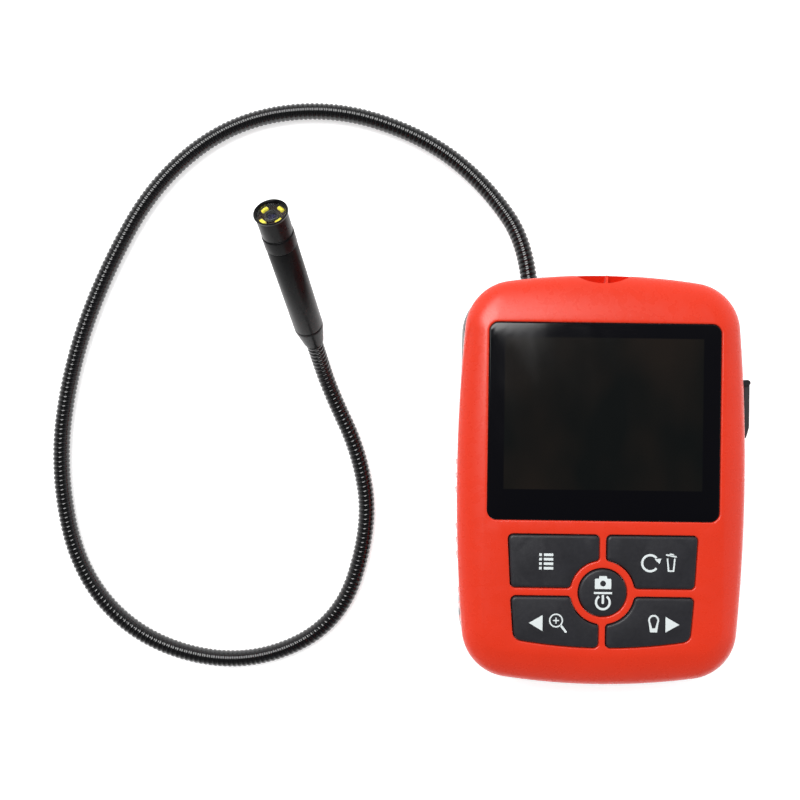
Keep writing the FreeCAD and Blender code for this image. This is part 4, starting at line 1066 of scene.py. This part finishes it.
def zoom_symbol(shape):
    """A left arrow, and a magnifier with a plus in it."""
    plate(shape, [(-19.9, -39.1), (-16.15, -41.28), (-16.15, -36.92)])
    x, y, arm, half = -12.46, -38.35, 0.82, 0.16
    plate(shape, circle(x, y, 1.92), circle(x, y, 1.54))
    plate(shape, [(x - arm, y - half), (x - half, y - half), (x - half, y - arm), (x + half, y - arm),
                  (x + half, y - half), (x + arm, y - half), (x + arm, y + half), (x + half, y + half),
                  (x + half, y + arm), (x - half, y + arm), (x - half, y + half), (x - arm, y + half)])
    plate(shape, stroke(x + 1.45, y - 1.5, x + 2.7, y - 3.05, 0.62))


def light_symbol(shape):
    """A lamp bulb, and a right arrow."""
    x, y = 14.3, -37.95

    def bulb(radius, waist, foot):
        """The round glass, drawn in to a straight neck."""
        turns = [math.radians(-25 + 230 * step / 24) for step in range(25)]
        return [(x + waist, foot), *[around(x, y, radius, turn) for turn in turns], (x - waist, foot)]

    plate(shape, bulb(1.5, 0.95, -41.25), bulb(1.02, 0.42, -40.15))
    plate(shape, [(17.55, -41.25), (21.35, -39.1), (17.55, -36.95)])


def power_symbol(shape):
    """A camera over a bar over a power sign."""
    x, y, half_height, hump, hump_top = 0.3, -28.15, 1.42, 1.15, 2.15
    body = [point[:2] for point in ring(rounded_rectangle(x, y, 2.25, half_height, 0.3, 4, 2), 0, 0)]
    top = [(x + hump, y + half_height), (x + 1.0, y + hump_top), (x - 1.0, y + hump_top),
           (x - hump, y + half_height)]
    # the hump goes in after the body's upper right corner, and the top edge's own points under it go
    edge = max(range(len(body)), key=lambda here: (round(body[here][1], 3), body[here][0]))
    body = body[:edge + 1] + top + body[edge + 1:]
    outer = [point for point in body
             if not (abs(point[0] - x) < 1.1 and abs(point[1] - y - half_height) < 1e-6)]
    plate(shape, outer, circle(x, y + 0.1, 0.8))
    plate(shape, bar(x, KEYPAD_Y, 5.0, 0.55))
    plate(shape, sector(x, -33.2, 1.88, 0.62, 123, 417))
    plate(shape, stroke(x, -31.45, x, -33.35, 0.66))


SYMBOLS = {"menu": menu_symbol, "rotate_delete": rotate_delete_symbol, "zoom": zoom_symbol,
           "light": light_symbol, "power": power_symbol}
for key_name, key_pairs in KEYS.items():
    make_key(key_name, key_pairs)
    print_shape = Shape()
    SYMBOLS[key_name](print_shape)
    place(mesh_object(f"{key_name}_symbol", print_shape), "key_rubber", body=f"{key_name}_button",
          look=symbol_white)


# ---------------- floor, light and world

def make_floor():
    """A wide white disc that glows a little, so that it stays near white in the shade."""
    made, tree, shader = start_material("studio_floor")
    tint = blended(tree, spread(tree, noise(tree, 0.4), 0, 1), (0.93, 0.93, 0.93), (0.95, 0.95, 0.95))
    settle(tree, shader, Base_Color=tint, Roughness=0.8, Specular_IOR_Level=0.1,
           Emission_Color=(1, 1, 1, 1), Emission_Strength=0.6)
    x, y, radius = -56, 20, 6000
    shape = Shape()
    rim = shape.add([(*point, 0) for point in circle(x, y, radius, 96)])
    shape.fan(rim, (x, y, 0))
    floor = mesh_object("floor", shape)
    floor.data.materials.append(made)


def area_light(name, location, target, width, height, power, glossy=True):
    """A rectangular light that faces its target; glossy says whether surfaces mirror it."""
    light = bpy.data.lights.new(name, "AREA")
    light.shape = "RECTANGLE"
    light.size = width
    light.size_y = height
    light.energy = power
    holder = new_object(name, light)
    aim = (Vector(target) - Vector(location)).to_track_quat("-Z", "Y")
    holder.matrix_world = Matrix.Translation(location) @ aim.to_matrix().to_4x4()
    holder.visible_glossy = glossy


def make_world():
    """Bright round the horizon, dim overhead and dimmer towards -Y, as in a light tent with an open top."""
    world = bpy.data.worlds.new("studio")
    bpy.context.scene.world = world
    world.use_nodes = True
    tree = world.node_tree
    way = node(tree, "SeparateXYZ", {"Vector": node(tree, "TexCoord").outputs["Generated"]})
    lift = spread(tree, way.outputs["Z"], 0, 1, 0.25, 0.8)
    tint = blended(tree, lift, (1.0, 1.0, 1.0), (0.10, 0.10, 0.11))
    strength = spread(tree, way.outputs["Y"], 0.4, 1.0, -0.6, 0.4)
    settle(tree, tree.nodes["Background"], Color=tint, Strength=strength)


make_floor()
make_world()
HANDSET = (0, 0.01, 0.02)
area_light("upper_left_softbox", (-0.27, 0.43, 1.03), HANDSET, 0.7, 0.62, 10.9)
area_light("right_fill", (0.9, -0.2, 0.8), HANDSET, 0.8, 0.8, 1.2, glossy=False)
area_light("front_fill", (-0.3, -0.9, 0.8), HANDSET, 0.9, 0.7, 0.2, glossy=False)
bpy.context.scene.view_settings.view_transform = "Standard"
